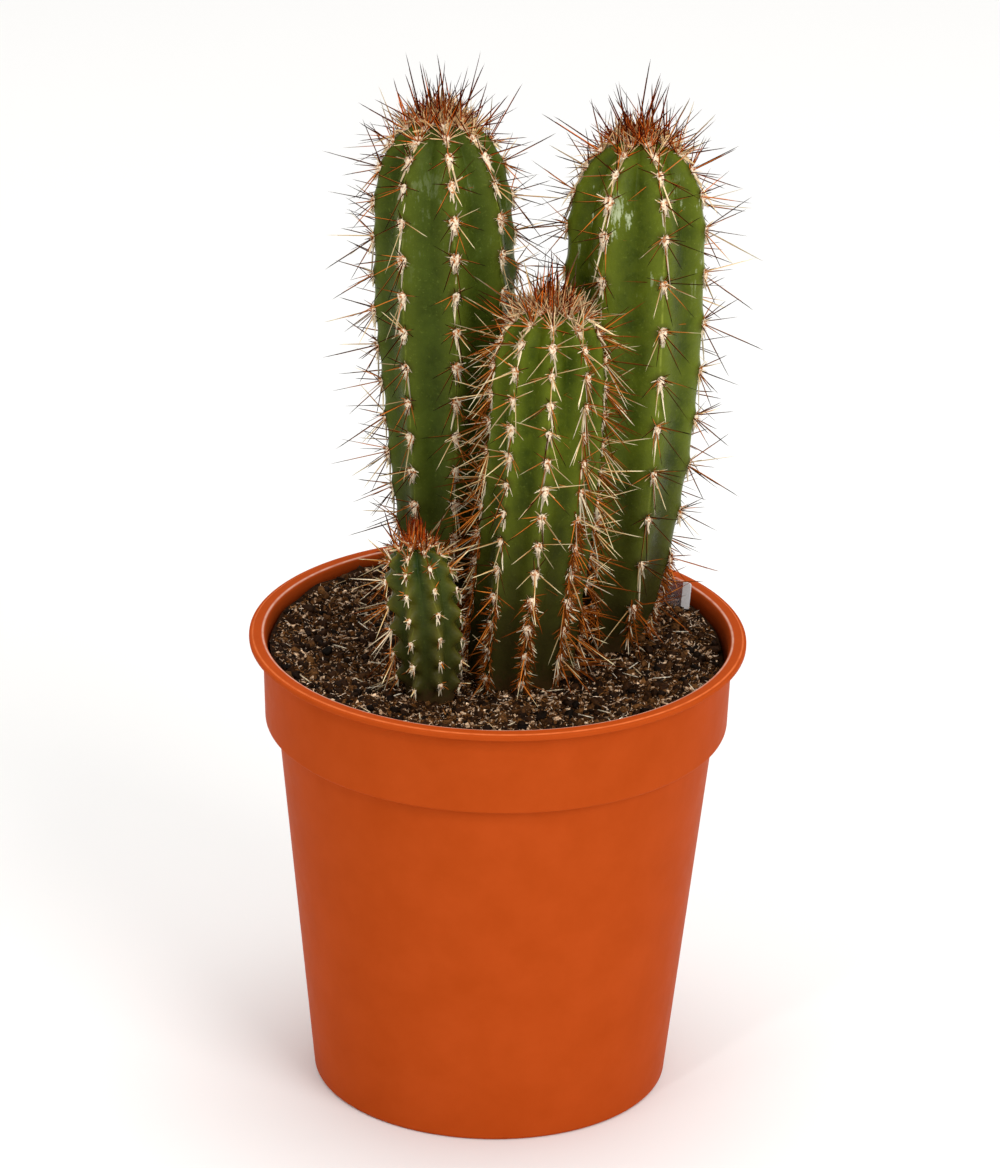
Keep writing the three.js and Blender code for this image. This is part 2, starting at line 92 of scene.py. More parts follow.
SOIL_GAP = 0.3  # between the soil and the pot's wall and floor
SOIL_EDGE_RADIUS = 53.0
SOIL_MIDDLE_Z = 107.6
SOIL_RISE = 5.0
SOIL_BUMP = 0.7
SOIL_SIDES = 256
SOIL_RINGS = 74
SOIL_WALL_DROP = 8.0  # from the pot's top down to where the fill leaves the wall
BARE_WALL_GAP = 1.4  # between the loose top and the wall
FOOT_SHARE = 0.8  # of a stem's girth, inside which the soil drops under its foot
CLODS = ((6.0, 1.0), (2.2, 0.55))  # width, and height as a share of the highest


@dataclass
class Strewn:
    """One kind of bit that lies on the soil, with its sizes in millimetres."""

    piece: str
    setting: str  # the soil setting that says how many there are
    material: str
    smallest: float
    largest: float
    stretch: float
    tones: tuple  # dark, middle and pale
    pale_from: float  # the share of bits after which they turn pale
    flatness: float = 0.8
    steepest: float = 3.1  # how far a bit may tip, in radians
    rounds: int = 0  # of subdivision, or none for sharp bits
    lift: float = 0.0  # over the soil


STREWN = (
    Strewn(
        "soil_lumps", "lumps", "Peat lumps", 0.8, 2.7, 1.25, ("0C0602", "341D0B", "6E4824"), 0.75,
        rounds=2,
    ),
    Strewn(
        "soil_crumbs", "crumbs", "Peat crumbs", 0.2, 1.0, 1.7, ("0E0703", "68401C", "F2CEA8"), 0.7,
        flatness=0.7,
    ),
    Strewn(
        "soil_fibres", "fibres", "Peat fibres", 0.11, 0.26, 11.0, ("3A2010", "946434", "F4DCC2"), 0.5,
        steepest=0.8,
    ),
    Strewn(
        "fallen_spines", "fallen", "Fallen spines", 0.2, 0.26, 22.0, ("7A4E22", "D8C098", "F6ECD6"), 0.3,
        steepest=0.3, lift=0.9,
    ),
)


@dataclass
class Stem:
    """One stem's form and growth, in millimetres and degrees, with shares from 0 to 1."""

    name: str
    node: str
    slot: str
    ribs: int
    first_rib: float  # the first crest's angle from the front, -Y, towards +X
    axis: tuple  # (z, x, y) along the stem's middle
    girth: tuple  # (z, radius over the crests)
    dome: float  # where the crown starts to round off
    apex: float
    groove: float  # how deep the furrows are, as a share of the radius
    crown_groove: float  # and how deep the pleats in the crown
    spacing: float  # from one grown areole to the next
    swell: float  # how far the skin stands up under an areole
    sag: float  # how far a crest sinks between areoles
    pad: float  # the size of an areole's wool
    central: tuple  # the shortest and longest main spine of an areole
    crown: tuple  # and of a young areole
    long: tuple  # how many long thin spines an areole has
    nest: tuple  # how many fine bristles a young areole adds round the crown, and the share of cream ones
    heart: tuple  # count, spread and lengths of the young spines in the middle of the crown
    dense_below: dict  # by rib, the height under which the oldest areoles have a thick rusty brush
    reddish: float  # how far down from the apex the spines are reddened by youth
    light_tips: float  # the share of spines with bleached tips
    tails: float  # the share of areoles with a long white spine that hangs down the crest
    aged: tuple  # the heights from which down the skin darkens, and at which it has done so
    greens: tuple  # the skin's darkest tone, and the fresh tone painted on the crests as a highlight
    crest_line: float  # how far a light line shows along the crests
    twist: float = 0.0  # how far the ribs turn in 40 mm of height
    radial: tuple = (5, 8.5)  # the shortest and longest side spine
    stubs: tuple = (4, 6.4)  # how many short spines fan out over the pad
    shaggy: dict = field(default_factory=dict)  # ribs with many more long spines, and their lengths
    halo: str = "3A3010"  # the colour round an areole's pad: a painted shadow on most stems, a lighter olive on the small stem
    painted_glints: float = 0.0  # how strongly whitish glints are painted on the wax round the shoulders, as painted highlights
    gloss: float = 0.05  # how strongly the skin mirrors


STEMS = (
    Stem(
        name="left_stem", node="stem_left", slot="stem_dark", ribs=8, first_rib=10,
        axis=((96, -12.4, 17), (132, -13, 17), (170, -13.6, 17), (205, -14.6, 17), (240, -16.1, 17.3)),
        girth=((96, 7.6), (110, 9.1), (132, 10.9), (150, 13.2), (169, 14.9), (194, 16.9), (212, 16.7)),
        dome=212, apex=240, groove=0.11, crown_groove=0.22, spacing=9.2, swell=0.55, sag=0.15, pad=0.86,
        radial=(5, 8), central=(8.5, 12.5), crown=(10, 14), long=(3.6, 5.8),
        nest=(14, 0.62), heart=(13, 1.9, 4.5, 8.5), dense_below={None: 116},
        reddish=18, light_tips=0.16, tails=0.5,
        aged=(160, 116), greens=("343F10", "5E681F"), crest_line=0.45, painted_glints=0.12,
    ),
    Stem(
        name="right_stem", node="stem_right", slot="stem_bright", ribs=7, first_rib=22.8,
        axis=(
            (95, 26, 13.8), (108, 26.8, 14), (129, 29, 14.4),
            (160, 30.6, 14.8), (205, 31, 15), (237, 31.4, 15),
        ),
        girth=(
            (95, 6.6), (108, 8), (118, 10.1), (129, 11.9),
            (140, 13.1), (160, 15.2), (190, 16.8), (210, 16.7),
        ),
        dome=210, apex=237, groove=0.12, crown_groove=0.24, spacing=12.3, swell=0.6, sag=0.15, pad=0.84,
        central=(8, 13), crown=(11, 15.5), long=(3.9, 6.1),
        nest=(11, 0.48), heart=(16, 2.8, 4.5, 9.0), dense_below={None: 132},
        reddish=18, light_tips=0.18, tails=0.4,
        aged=(165, 120), greens=("333F09", "707C22"), crest_line=0.6, painted_glints=0.7, gloss=0.09,
    ),
    Stem(
        name="centre_stem", node="stem_centre", slot="stem_bright", ribs=9, first_rib=2.6,
        axis=(
            (95, 3.9, -7.4), (109, 5.1, -7.6), (128, 6.7, -8),
            (161, 9.7, -8.4), (185, 10.7, -8.6), (204, 11.2, -8.6),
        ),
        girth=((95, 10.6), (107, 12.9), (128, 13.5), (161, 13.6), (184, 13.3)),
        dome=184, apex=203.2, groove=0.14, crown_groove=0.2, spacing=7.2, swell=0.5, sag=0.2, pad=0.7,
        central=(8, 12), crown=(9, 14), long=(2.4, 4.2),
        shaggy={1: (5.5, 10.0), 2: (6.0, 11.0), 6: (6.0, 11.0), 7: (6.0, 11.0)},
        nest=(17, 0.7), heart=(20, 4.2, 4.5, 9.5), dense_below={None: 129, 0: 136, 1: 157, 7: 152, 8: 139},
        reddish=13, light_tips=0.6, tails=0.55,
        aged=(170, 122), greens=("333F09", "707C22"), crest_line=0.6,
    ),
    Stem(
        name="small_stem", node="stem_small", slot="stem_dark", ribs=8, first_rib=17, twist=6,
        axis=(
            (98, -15.6, -21.6), (109, -15.9, -21.8), (128, -17.1, -22),
            (143, -19.2, -22.2), (148, -19.9, -22.2),
        ),
        girth=((98, 5.4), (108, 6.9), (118, 8), (128, 8.7), (135, 8.6)),
        dome=135, apex=147.5, groove=0.2, crown_groove=0.24, spacing=6.2, swell=0.9, sag=2.1, pad=0.44,
        radial=(0.9, 1.8), central=(1.1, 2.4), crown=(5, 8), long=(-0.5, 1.2), stubs=(0.0, 0.6),
        shaggy={5: (4.5, 8.5), 6: (4.5, 8.5)},
        nest=(9, 0.1), heart=(44, 1.6, 4.5, 8.0), dense_below={None: 104},
        reddish=7, light_tips=0.5, tails=0.0,
        aged=(156, 104), greens=("223812", "6A621A"), halo="747022", crest_line=0.5, gloss=0.1,
    ),
)
DOME_SHARPNESS = 2.5
APEX_DIMPLE = 0.8
DIMPLE_WIDTH = 4.0
FADE_RADIUS = 6.0  # under which the areoles' swellings shrink towards the apex
PLEAT_REACH = 10.0
COLUMNS_PER_RIB = 18
ROW_HEIGHT = 0.65
CROWN_ROWS = 40
FIRST_AREOLE_GAP = 3.0
AREOLE_GAP_GROWTH = 1.3
APEX_BARE_ARC = 1.8
# Areoles nearer to the apex than this, along the crest, are young.
CROWN_REACH = 12.0

RADIAL_RISE = 36.0
CENTRAL_RISE = (60.0, 84.0)
YOUNG_STOUTNESS = 0.19
GROWN_STOUTNESS = 0.155
CROWN_LIFT = 0.5
GROWN_DROOP = 0.2
SPINE_ROOT_DEPTH = 0.6
ROOT_SPREAD = 0.55
SPINE_GAP = 0.45
SPINE_CHECKS = (0.3, 0.5, 0.7, 0.85, 1.0)  # the shares of a spine's length at which it must be clear
SHAGGY_COUNT = 6
BRUSH_COUNT = 62
NEST_AGE = 0.8
HEART_DEPTH = 0.8
HEART_STOUTNESS = 0.17
GOLDEN_ANGLE = 2.39996
# How a spine that is in the way is tried again: turned by so many degrees, at a share of its length.
BENDS = ((0, 1), (25, 1), (-25, 1), (55, 0.85), (-55, 0.85), (0, 0.5), (110, 0.6))

LABEL_WIDTH = 12.0
LABEL_THICKNESS = 0.8
LABEL_TOP_Z = 117.8
LABEL_LENGTH = 48.0
LABEL_POINT_LENGTH = 12.0
LABEL_POINT_WIDTH = 1.2
LABEL_CENTRE = (41.6, 29.4)
LABEL_TURN = 155.5
LABEL_LEAN = 11.0

# The camera of the photograph, found from the pot's lip, step, sides and base in its picture.
CAMERA_ELEVATION = 23.254
CAMERA_ROLL = 1.185
CAMERA_DISTANCE = 1811.0
CAMERA_TARGET = (0.279, 0.0, 128.12)
SENSOR_WIDTH = 36.0
FOCUS_PIXELS = 7529.26
PICTURE_HEIGHT_PIXELS = 1168.0
LIGHTS_AIM_Z = 130.0


# ------------------------------------------------------------------ helpers


def linear(code):
    """An sRGB hex colour, such as "C1501F", as linear RGBA."""
    channels = [int(code[i : i + 2], 16) / 255 for i in (0, 2, 4)]
    return (*(c / 12.92 if c <= 0.04045 else ((c + 0.055) / 1.055) ** 2.4 for c in channels), 1.0)


def add(tree, kind, *inputs, out=0, **settings):
    """Adds one node with its settings and its inputs, in order or by name, and returns an output."""
    node = tree.nodes.new(kind)
    for name, value in settings.items():
        setattr(node, name, value)
    given = {}
    for i, value in enumerate(inputs):
        given.update(value if isinstance(value, dict) else {i: value})
    for key, value in given.items():
        if isinstance(value, bpy.types.NodeSocket):
            tree.links.new(value, node.inputs[key])
        else:
            node.inputs[key].default_value = value
    return node if out is None else node.outputs[out]


def new_material(name):
    """An empty node material, and its tree."""
    material = bpy.data.materials.new(name)
    material.use_nodes = True
    material.node_tree.nodes.clear()
    return material, material.node_tree


def surfaced(material, looks):
    """The material, ended in the surface shader with its inputs by name."""
    tree = material.node_tree
    surface = add(tree, "ShaderNodeBsdfPrincipled", looks)
    add(tree, "ShaderNodeOutputMaterial", surface, out=None)
    return material


def new_geometry_tree(name, sizes):
    """A geometry tree with named inputs from (name, kind, default), and those inputs."""
    tree = bpy.data.node_groups.new(name, "GeometryNodeTree")
    tree.interface.new_socket("Geometry", in_out="INPUT", socket_type="NodeSocketGeometry")
    for label, kind, default in sizes:
        socket = tree.interface.new_socket(label, in_out="INPUT", socket_type="NodeSocket" + kind)
        if default is not None:
            socket.default_value = default
    tree.interface.new_socket("Geometry", in_out="OUTPUT", socket_type="NodeSocketGeometry")
    return tree, add(tree, "NodeGroupInput", out=None).outputs


def ended(tree, geometry, material):
    """The tree, ended with its geometry made real and given its material."""
    real = add(tree, "GeometryNodeRealizeInstances", geometry)
    dressed = add(tree, "GeometryNodeSetMaterial", {0: real, "Material": material})
    add(tree, "NodeGroupOutput", dressed, out=None)
    return tree


def new_object(name, points, faces=(), attributes=None):
    """A mesh object in the scene from points in metres, with its named point attributes."""
    mesh = bpy.data.meshes.new(name)
    mesh.from_pydata([tuple(p) for p in points], [], [tuple(f) for f in faces])
    for label, values in (attributes or {}).items():
        values = np.asarray(values, np.float32)
        kind, part = ("FLOAT_VECTOR", "vector") if values.ndim == 2 else ("FLOAT", "value")
        mesh.attributes.new(label, kind, "POINT").data.foreach_set(part, values.ravel())
    mesh.update()
    made = bpy.data.objects.new(name, mesh)
    bpy.context.scene.collection.objects.link(made)
    return made


def applied(made, tree=None, values=None):
    """The object with its modifiers, and the geometry tree with its input values, made a plain mesh."""
    if tree is not None:
        modifier = made.modifiers.new(tree.name, "NODES")
        modifier.node_group = tree
        named = {s.name: s.identifier for s in tree.interface.items_tree if s.in_out == "INPUT"}
        for label, value in values.items():
            modifier[named[label]] = value
    depsgraph = bpy.context.evaluated_depsgraph_get()
    evaluated = made.evaluated_get(depsgraph)
    mesh = bpy.data.meshes.new_from_object(evaluated, preserve_all_data_layers=True, depsgraph=depsgraph)
    if not mesh.polygons:
        raise RuntimeError(f"{made.name} came out empty")
    made.modifiers.clear()
    made.data = mesh
    mesh.name = made.name
    return made


def finished(made, material=None, replaces=None, sharp=None):
    """Smooths a piece except at sharp edges, gives it its material and sets it on the part."""
    made.data.shade_smooth()
    if sharp is not None:
        made.data.set_sharp_from_angle(angle=math.radians(sharp))
    if material is not None:
        made.data.materials.clear()
        made.data.materials.append(material)
    if replaces is not None:
        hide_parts(replaces)
    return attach(made, "root")


def chance(a, b, c, d):
    """The same pseudo-random number from 0 to 1 for the same whole numbers."""
    return (math.sin(a * 12.9898 + b * 78.233 + c * 37.719 + d * 9.151) * 43758.5453) % 1.0


def smooth_at(rows, column, z):
    """A smooth curve through rows of (z, value, ...), read at heights z, straight past its ends."""
    rows = np.asarray(rows, float)
    heights, values = rows[:, 0], rows[:, column]
    low = np.maximum(np.arange(len(rows)) - 1, 0)
    high = np.minimum(np.arange(len(rows)) + 1, len(rows) - 1)
    slopes = (values[high] - values[low]) / (heights[high] - heights[low])
    i = np.clip(np.searchsorted(heights, z, side="right") - 1, 0, len(rows) - 2)
    span = heights[i + 1] - heights[i]
    t = np.clip((z - heights[i]) / span, 0, 1)
    bend = span * ((1 - t) ** 2 * t * slopes[i] - t * t * (1 - t) * slopes[i + 1])
    inside = values[i] + (values[i + 1] - values[i]) * t * t * (3 - 2 * t) + bend
    beyond = np.minimum(z - heights[0], 0) * slopes[0] + np.maximum(z - heights[-1], 0) * slopes[-1]
    return inside + beyond


def rounded_profile(corners, steps=5):
    """A profile of (radius, z, rounding) corners, each rounded off by that much along its sides."""
    line = []
    for i, (radius, z, rounding) in enumerate(corners):
        corner = np.array((radius, z))
        if not rounding:
            line.append(corner)
            continue
        before = np.array(corners[i - 1][:2]) - corner
        after = np.array(corners[i + 1][:2]) - corner
        start = corner + before / np.linalg.norm(before) * rounding
        end = corner + after / np.linalg.norm(after) * rounding
        for k in range(steps + 1):
            t = k / steps
            line.append((1 - t) ** 2 * start + 2 * t * (1 - t) * corner + t * t * end)
    return line


def closed_faces(rows, columns):
    """The faces of rings of points, closed by the two points after them, the low and the high pole."""
    low, high = rows * columns, rows * columns + 1
    last = (rows - 1) * columns
    faces = []
    for k in range(columns):
        n = (k + 1) % columns
        faces += [(low, n, k), (high, last + k, last + n)]
        for row in range(rows - 1):
            a, b = row * columns, (row + 1) * columns
            faces.append((a + k, a + n, b + n, b + k))
    return faces


def turned(name, profile, sides):
    """A closed shell from a profile of (radius, z) in millimetres that starts and ends on the axis."""
    ring = np.linspace(0, 2 * math.pi, sides, endpoint=False)
    inner = profile[1:-1]
    points = [
        (radius * math.cos(angle) * MM, radius * math.sin(angle) * MM, z * MM)
        for radius, z in inner
        for angle in ring
    ]
    points += [(0, 0, profile[0][1] * MM), (0, 0, profile[-1][1] * MM)]
    return new_object(name, points, closed_faces(len(inner), sides))


# ------------------------------------------------------------------ the rules of the plant


def crest_radius(stem, z):
    """The radius over the rib crests at heights z: the girth curve, then a rounded crown."""
    rise = np.clip((z - stem.dome) / (stem.apex - stem.dome), 0, 1)
    crown = stem.girth[-1][1] * (1 - rise**DOME_SHARPNESS) ** (1 / DOME_SHARPNESS)
    return np.where(z < stem.dome, smooth_at(stem.girth, 1, np.minimum(z, stem.dome)), crown)


def rib_angle(stem, rib, z):
    """The angle of a rib's crest in the plan, from +X, in radians."""
    twist = stem.twist * (z - stem.axis[0][0]) / 40
    return np.radians(stem.first_rib + 360 / stem.ribs * rib + twist - 90)


def soil_top(x, y):
    """The height of the soil at x, y: dished, heaped to the wall, and low at the right."""
    reach = np.minimum(np.hypot(x, y) / SOIL_EDGE_RADIUS, 1)
    angle = np.degrees(np.arctan2(y, x))
    low_right = 0.75 * np.exp(-(((angle - 2) / 16) ** 2))
    wall = 0.85 + 0.15 * np.cos(np.radians(angle - 130)) - low_right
    bumps = np.sin(0.31 * x + 0.6) * np.cos(0.27 * y) + 0.6 * np.sin(0.17 * (x - y) + 2)
    return SOIL_MIDDLE_Z + SOIL_RISE * reach**2.5 * wall + SOIL_BUMP * bumps


def crest_line(stem):
    """The crest from the apex down to the soil, as arrays of arc, radius and z."""
    share = np.linspace(0, 1, 161)[1:]
    z = stem.apex + (SOIL_MIDDLE_Z + 3 - stem.apex) * share**2
    z = np.concatenate(([stem.apex - APEX_DIMPLE], z))
    radius = np.concatenate(([0.0], crest_radius(stem, z[1:])))
    arc = np.concatenate(([0.0], np.cumsum(np.hypot(np.diff(radius), np.diff(z)))))
    return arc, radius, z


def areole_arcs(stem, rib, end):
    """How far down the crest from the apex each areole of a rib sits."""
    gap = FIRST_AREOLE_GAP
    arc = APEX_BARE_ARC + (0.5 * gap if rib % 2 else 0)
    arcs = []
    while arc < end:
        arcs.append(arc)
        arc += gap
        gap = min(gap * AREOLE_GAP_GROWTH, stem.spacing)
    return arcs


class Areole(NamedTuple):
    """An areole: its rib and row, how far down the crest it sits, where, and its three directions."""

    rib: int
    row: int
    arc: float
    place: np.ndarray
    climb: np.ndarray  # up the crest
    side: np.ndarray  # round the stem
    facing: np.ndarray  # off the skin


def areoles(stem):
    """Every areole of a stem, set out along its crests."""
    arcs, radii, heights = crest_line(stem)
    found = []
    for rib in range(stem.ribs):
        for row, arc in enumerate(areole_arcs(stem, rib, arcs[-1])):
            i = max(int(np.searchsorted(arcs, arc)), 1)
            share = (arc - arcs[i - 1]) / (arcs[i] - arcs[i - 1])
            radius = radii[i - 1] + (radii[i] - radii[i - 1]) * share
            z = heights[i - 1] + (heights[i] - heights[i - 1]) * share
            angle = float(rib_angle(stem, rib, z))
            outward = np.array((math.cos(angle), math.sin(angle), 0.0))
            climb = outward * (radii[i - 1] - radii[i])
            climb[2] = heights[i - 1] - heights[i]
            climb /= np.linalg.norm(climb)
            side = np.array((-math.sin(angle), math.cos(angle), 0.0))
            middle = np.array([*(smooth_at(stem.axis, k, z) for k in (1, 2)), z], float)
            place = middle + outward * radius
            found.append(Areole(rib, row, arc, place, climb, side, np.cross(side, climb)))
    return found


def label_frame(points):
    """Points seen from the label: x along its width, y through it, z up from its top edge."""
    turn = Matrix.Rotation(math.radians(-LABEL_TURN), 3, "Z")
    lean = Matrix.Rotation(math.radians(-LABEL_LEAN), 3, "X")
    moved = points - np.array((*LABEL_CENTRE, LABEL_TOP_Z))
    return moved @ np.array(lean @ turn).T


def is_clear(stem, root, tip):
    """Whether a spine stays clear of the other stems, the soil, the pot, the label and the box."""
    points = root + np.outer(SPINE_CHECKS, tip - root)
    x, y, z = points.T
    if np.abs(points[:, :2]).max() > LIP_RADIUS:
        return False
    if (z < soil_top(x, y) + SPINE_GAP).any():
        return False
    in_pot = z < POT_HEIGHT + SPINE_GAP
    if (np.hypot(x, y)[in_pot] > COLLAR_FOOT_RADIUS - POT_WALL - SPINE_GAP).any():
        return False
    u, v, _ = label_frame(points).T
    near_sheet = (np.abs(u) < LABEL_WIDTH / 2 + SPINE_GAP) & (np.abs(v) < LABEL_THICKNESS / 2 + SPINE_GAP)
    if (near_sheet & (z < LABEL_TOP_Z)).any():
        return False
    for other in STEMS:
        if other is stem:
            continue
        near = z < other.apex + SPINE_GAP
        reach = crest_radius(other, np.minimum(z, other.apex - 1)) + SPINE_GAP
        away = np.hypot(x - smooth_at(other.axis, 1, z), y - smooth_at(other.axis, 2, z))
        if (near & (away < reach)).any():
            return False
    return True


def spine_direction(areole, turn, rise):
    """A direction turned round the areole from the rib's upward line, raised off the skin."""
    flat = math.cos(math.radians(rise))
    direction = areole.climb * flat * math.cos(math.radians(turn))
    direction = direction + areole.side * flat * math.sin(math.radians(turn))
    direction = direction + areole.facing * math.sin(math.radians(rise))
    young = 1 - areole.arc / CROWN_REACH
    direction[2] += CROWN_LIFT * max(0.0, young) - GROWN_DROOP * min(max(0.0, -young), 1.0)
    return direction / np.linalg.norm(direction)


class Spine(NamedTuple):
    """A spine as its areole sets it: angles in degrees, sizes in millimetres, looks from 0 to 1."""

    turn: float  # round the areole, from the crest's upward line
    rise: float  # off the skin
    length: float
    radius: float
    pale: float = 0.0
    age: float = 0.0
    heart: float = 0.0
    slide: float = 0.0  # of its root, up the crest


def areole_spines(stem, number, areole):
    """The spines of one areole, of which the first stands in its middle."""

    def draw(kind):
        """This areole's own random number, another one for each kind."""
        return chance(number + 1, areole.rib + 1, areole.row + 1, kind)

    def between(ends, kind):
        """A value drawn from between two ends."""
        return ends[0] + (ends[1] - ends[0]) * draw(kind)

    young = areole.arc < CROWN_REACH
    dense = areole.place[2] < stem.dense_below.get(areole.rib, stem.dense_below[None])
    shag = None if young else stem.shaggy.get(areole.rib)
    longest = stem.crown if young else stem.central
    stout = YOUNG_STOUTNESS if young else GROWN_STOUTNESS
    age = 1.0 if dense else 0.6 if shag else 0.0
    grown = 0.72 if young and draw(6) < 0.6 else 1.0
    spines = [
        Spine(360 * draw(1), between(CENTRAL_RISE, 2), between(longest, 3) * grown, stout, age=age),
        Spine(360 * draw(4), RADIAL_RISE, between(stem.radial, 5), 0.12, age=age),
    ]
    # Long thin ones, evenly round the areole.
    count = max(round(between(stem.long, 10) - (2.6 if young else 2.0 if dense else 0)), 0)
    for k in range(count):
        turn = spines[0].turn + 360 * (k + 0.7 + 0.6 * draw(11 + k)) / (count + 1)
        length = between((0.45, 0.8) if young else (0.5, 0.9), 31 + k) * between(longest, 3)
        spines.append(Spine(turn, between((20, 66), 21 + k), length, stout * 0.85, age=age))
    # A young areole's share of the nest of fine bristles round the crown.
    nest, cream = stem.nest
    for k in range(nest if young else 0):
        turn = 360 * (k + draw(201 + k)) / nest
        length = between((0.23, 0.5), 241 + k) * longest[0]
        pale = 0.9 if draw(261 + k) < cream else 0.0
        spines.append(Spine(turn, between((20, 75), 221 + k), length, 0.11, pale, NEST_AGE, heart=0.9))
    # A shaggy rib's, which point down and outwards.
    for k in range(SHAGGY_COUNT if shag else 0):
        turn = 180 + 170 * (draw(181 + k) - 0.5)
        pale = 0.8 if draw(161 + k) < 0.2 else 0.0
        spines.append(Spine(turn, between((18, 62), 191 + k), between(shag, 171 + k), 0.13, pale, age))
    # Short stubs, which fan out above the pad.
    stubs = 0 if dense else round(between(stem.stubs, 51)) + (1 if young else 0)
    for k in range(stubs):
        turn = 250 * ((k + draw(61 + k)) / stubs - 0.5)
        length = between((1.9, 3.6) if young else (1.3, 2.6), 101 + k) * (0.2 + 0.9 * stem.pad)
        pale = 0.0 if draw(121 + k) < 0.8 else 0.9
        spines.append(Spine(turn, between((22, 60), 81 + k), length, 0.08 + 0.06 * stem.pad, pale, age))
    # Blunt white ones under the pad, and on some areoles a thin one that hangs far down the crest.
    for k in range(0 if dense else 2):
        turn = 180 + (-11, 9)[k] + 14 * (draw(141 + k) - 0.5)
        length = between((1.6, 3.2), 145 + k) * stem.pad + 0.3
        spines.append(Spine(turn, 8 + 10 * draw(151 + k), length, 0.35 * stem.pad, pale=1.0))
    if areole.arc > 4 and not dense and draw(155) < stem.tails:
        fall = min(stem.spacing, areole.arc) * between((0.5, 0.9), 156)
        spines.append(Spine(180 + 24 * (draw(157) - 0.5), 4.0, fall, 0.22, pale=1.0))
    # The oldest areoles' brush covers the crest down to the next one.
    for k in range(BRUSH_COUNT if dense else 0):
        turn = 180 + 250 * (draw(401 + k) - 0.5)
        slide = stem.spacing * (k / BRUSH_COUNT - 0.75)
        pale = 1.0 if draw(465 + k) < 0.13 else 0.0
        length = between((0.9, 2.3), 593 + k)
        spines.append(Spine(turn, between((14, 66), 529 + k), length, 0.12, pale, 1.0, slide=slide))
    return spines


# What each point that grows a spine knows, and the spine's material reads.
GROWN_FIELDS = ("root", "direction", "length", "radius", "young", "pale", "age", "tone", "heart")


def heart_spines(stem, number):
    """The erect young spines in the middle of the crown, as rows of the grown fields."""
    count, spread, short, long = stem.heart
    rows = []
    middle = np.array([*(smooth_at(stem.axis, k, stem.apex) for k in (1, 2)), 0])
    for k in range(count):
        away = spread * math.sqrt((k + 0.5) / count)
        angle = GOLDEN_ANGLE * k
        outward = np.array((math.cos(angle), math.sin(angle), 0.0))
        root = middle + outward * away + (0, 0, stem.apex - APEX_DIMPLE - HEART_DEPTH)
        lean = 0.03 + 0.045 * away**2 * chance(number, k, 1, 3)
        direction = outward * lean + (0.08 * (chance(number, k, 2, 5) - 0.5), 0.0, 1.0)
        direction /= np.linalg.norm(direction)
        length = short + (long - short) * chance(number, k, 4, 7)
        tone = chance(number, k, 6, 11)
        bleached = 0.8 if chance(number, k, 8, 13) < stem.nest[1] - 0.1 else 0.0
        rows.append((root, direction, length, HEART_STOUTNESS, 1.0, bleached, 0.0, tone, 1.0))
    return rows


def stem_spines(stem, number, found):
    """Every spine of a stem that is clear as it grew, bent or shortened, as rows of the grown fields."""
    rows = heart_spines(stem, number)
    for areole in found:
        young = min(max(1.3 - areole.arc / stem.reddish, 0.0), 1.0)
        for k, spine in enumerate(areole_spines(stem, number, areole)):
            spread = ROOT_SPREAD if k else 0.0
            angle = math.radians(spine.turn)
            offset = areole.climb * (math.cos(angle) * spread + spine.slide)
            offset = offset + areole.side * math.sin(angle) * spread
            root = areole.place + areole.facing * (stem.swell - SPINE_ROOT_DEPTH) + offset
            for bend, share in BENDS:
                direction = spine_direction(areole, spine.turn + bend, spine.rise)
                reach = spine.length * share + SPINE_ROOT_DEPTH
                if is_clear(stem, root, root + direction * reach):
                    tone = chance(number + 7, areole.rib + 3, areole.row + 5, k + 700)
                    looks = (young, spine.pale, spine.age, tone, spine.heart)
                    rows.append((root, direction, reach, spine.radius, *looks))
                    break
    return rows


# ------------------------------------------------------------------ geometry trees


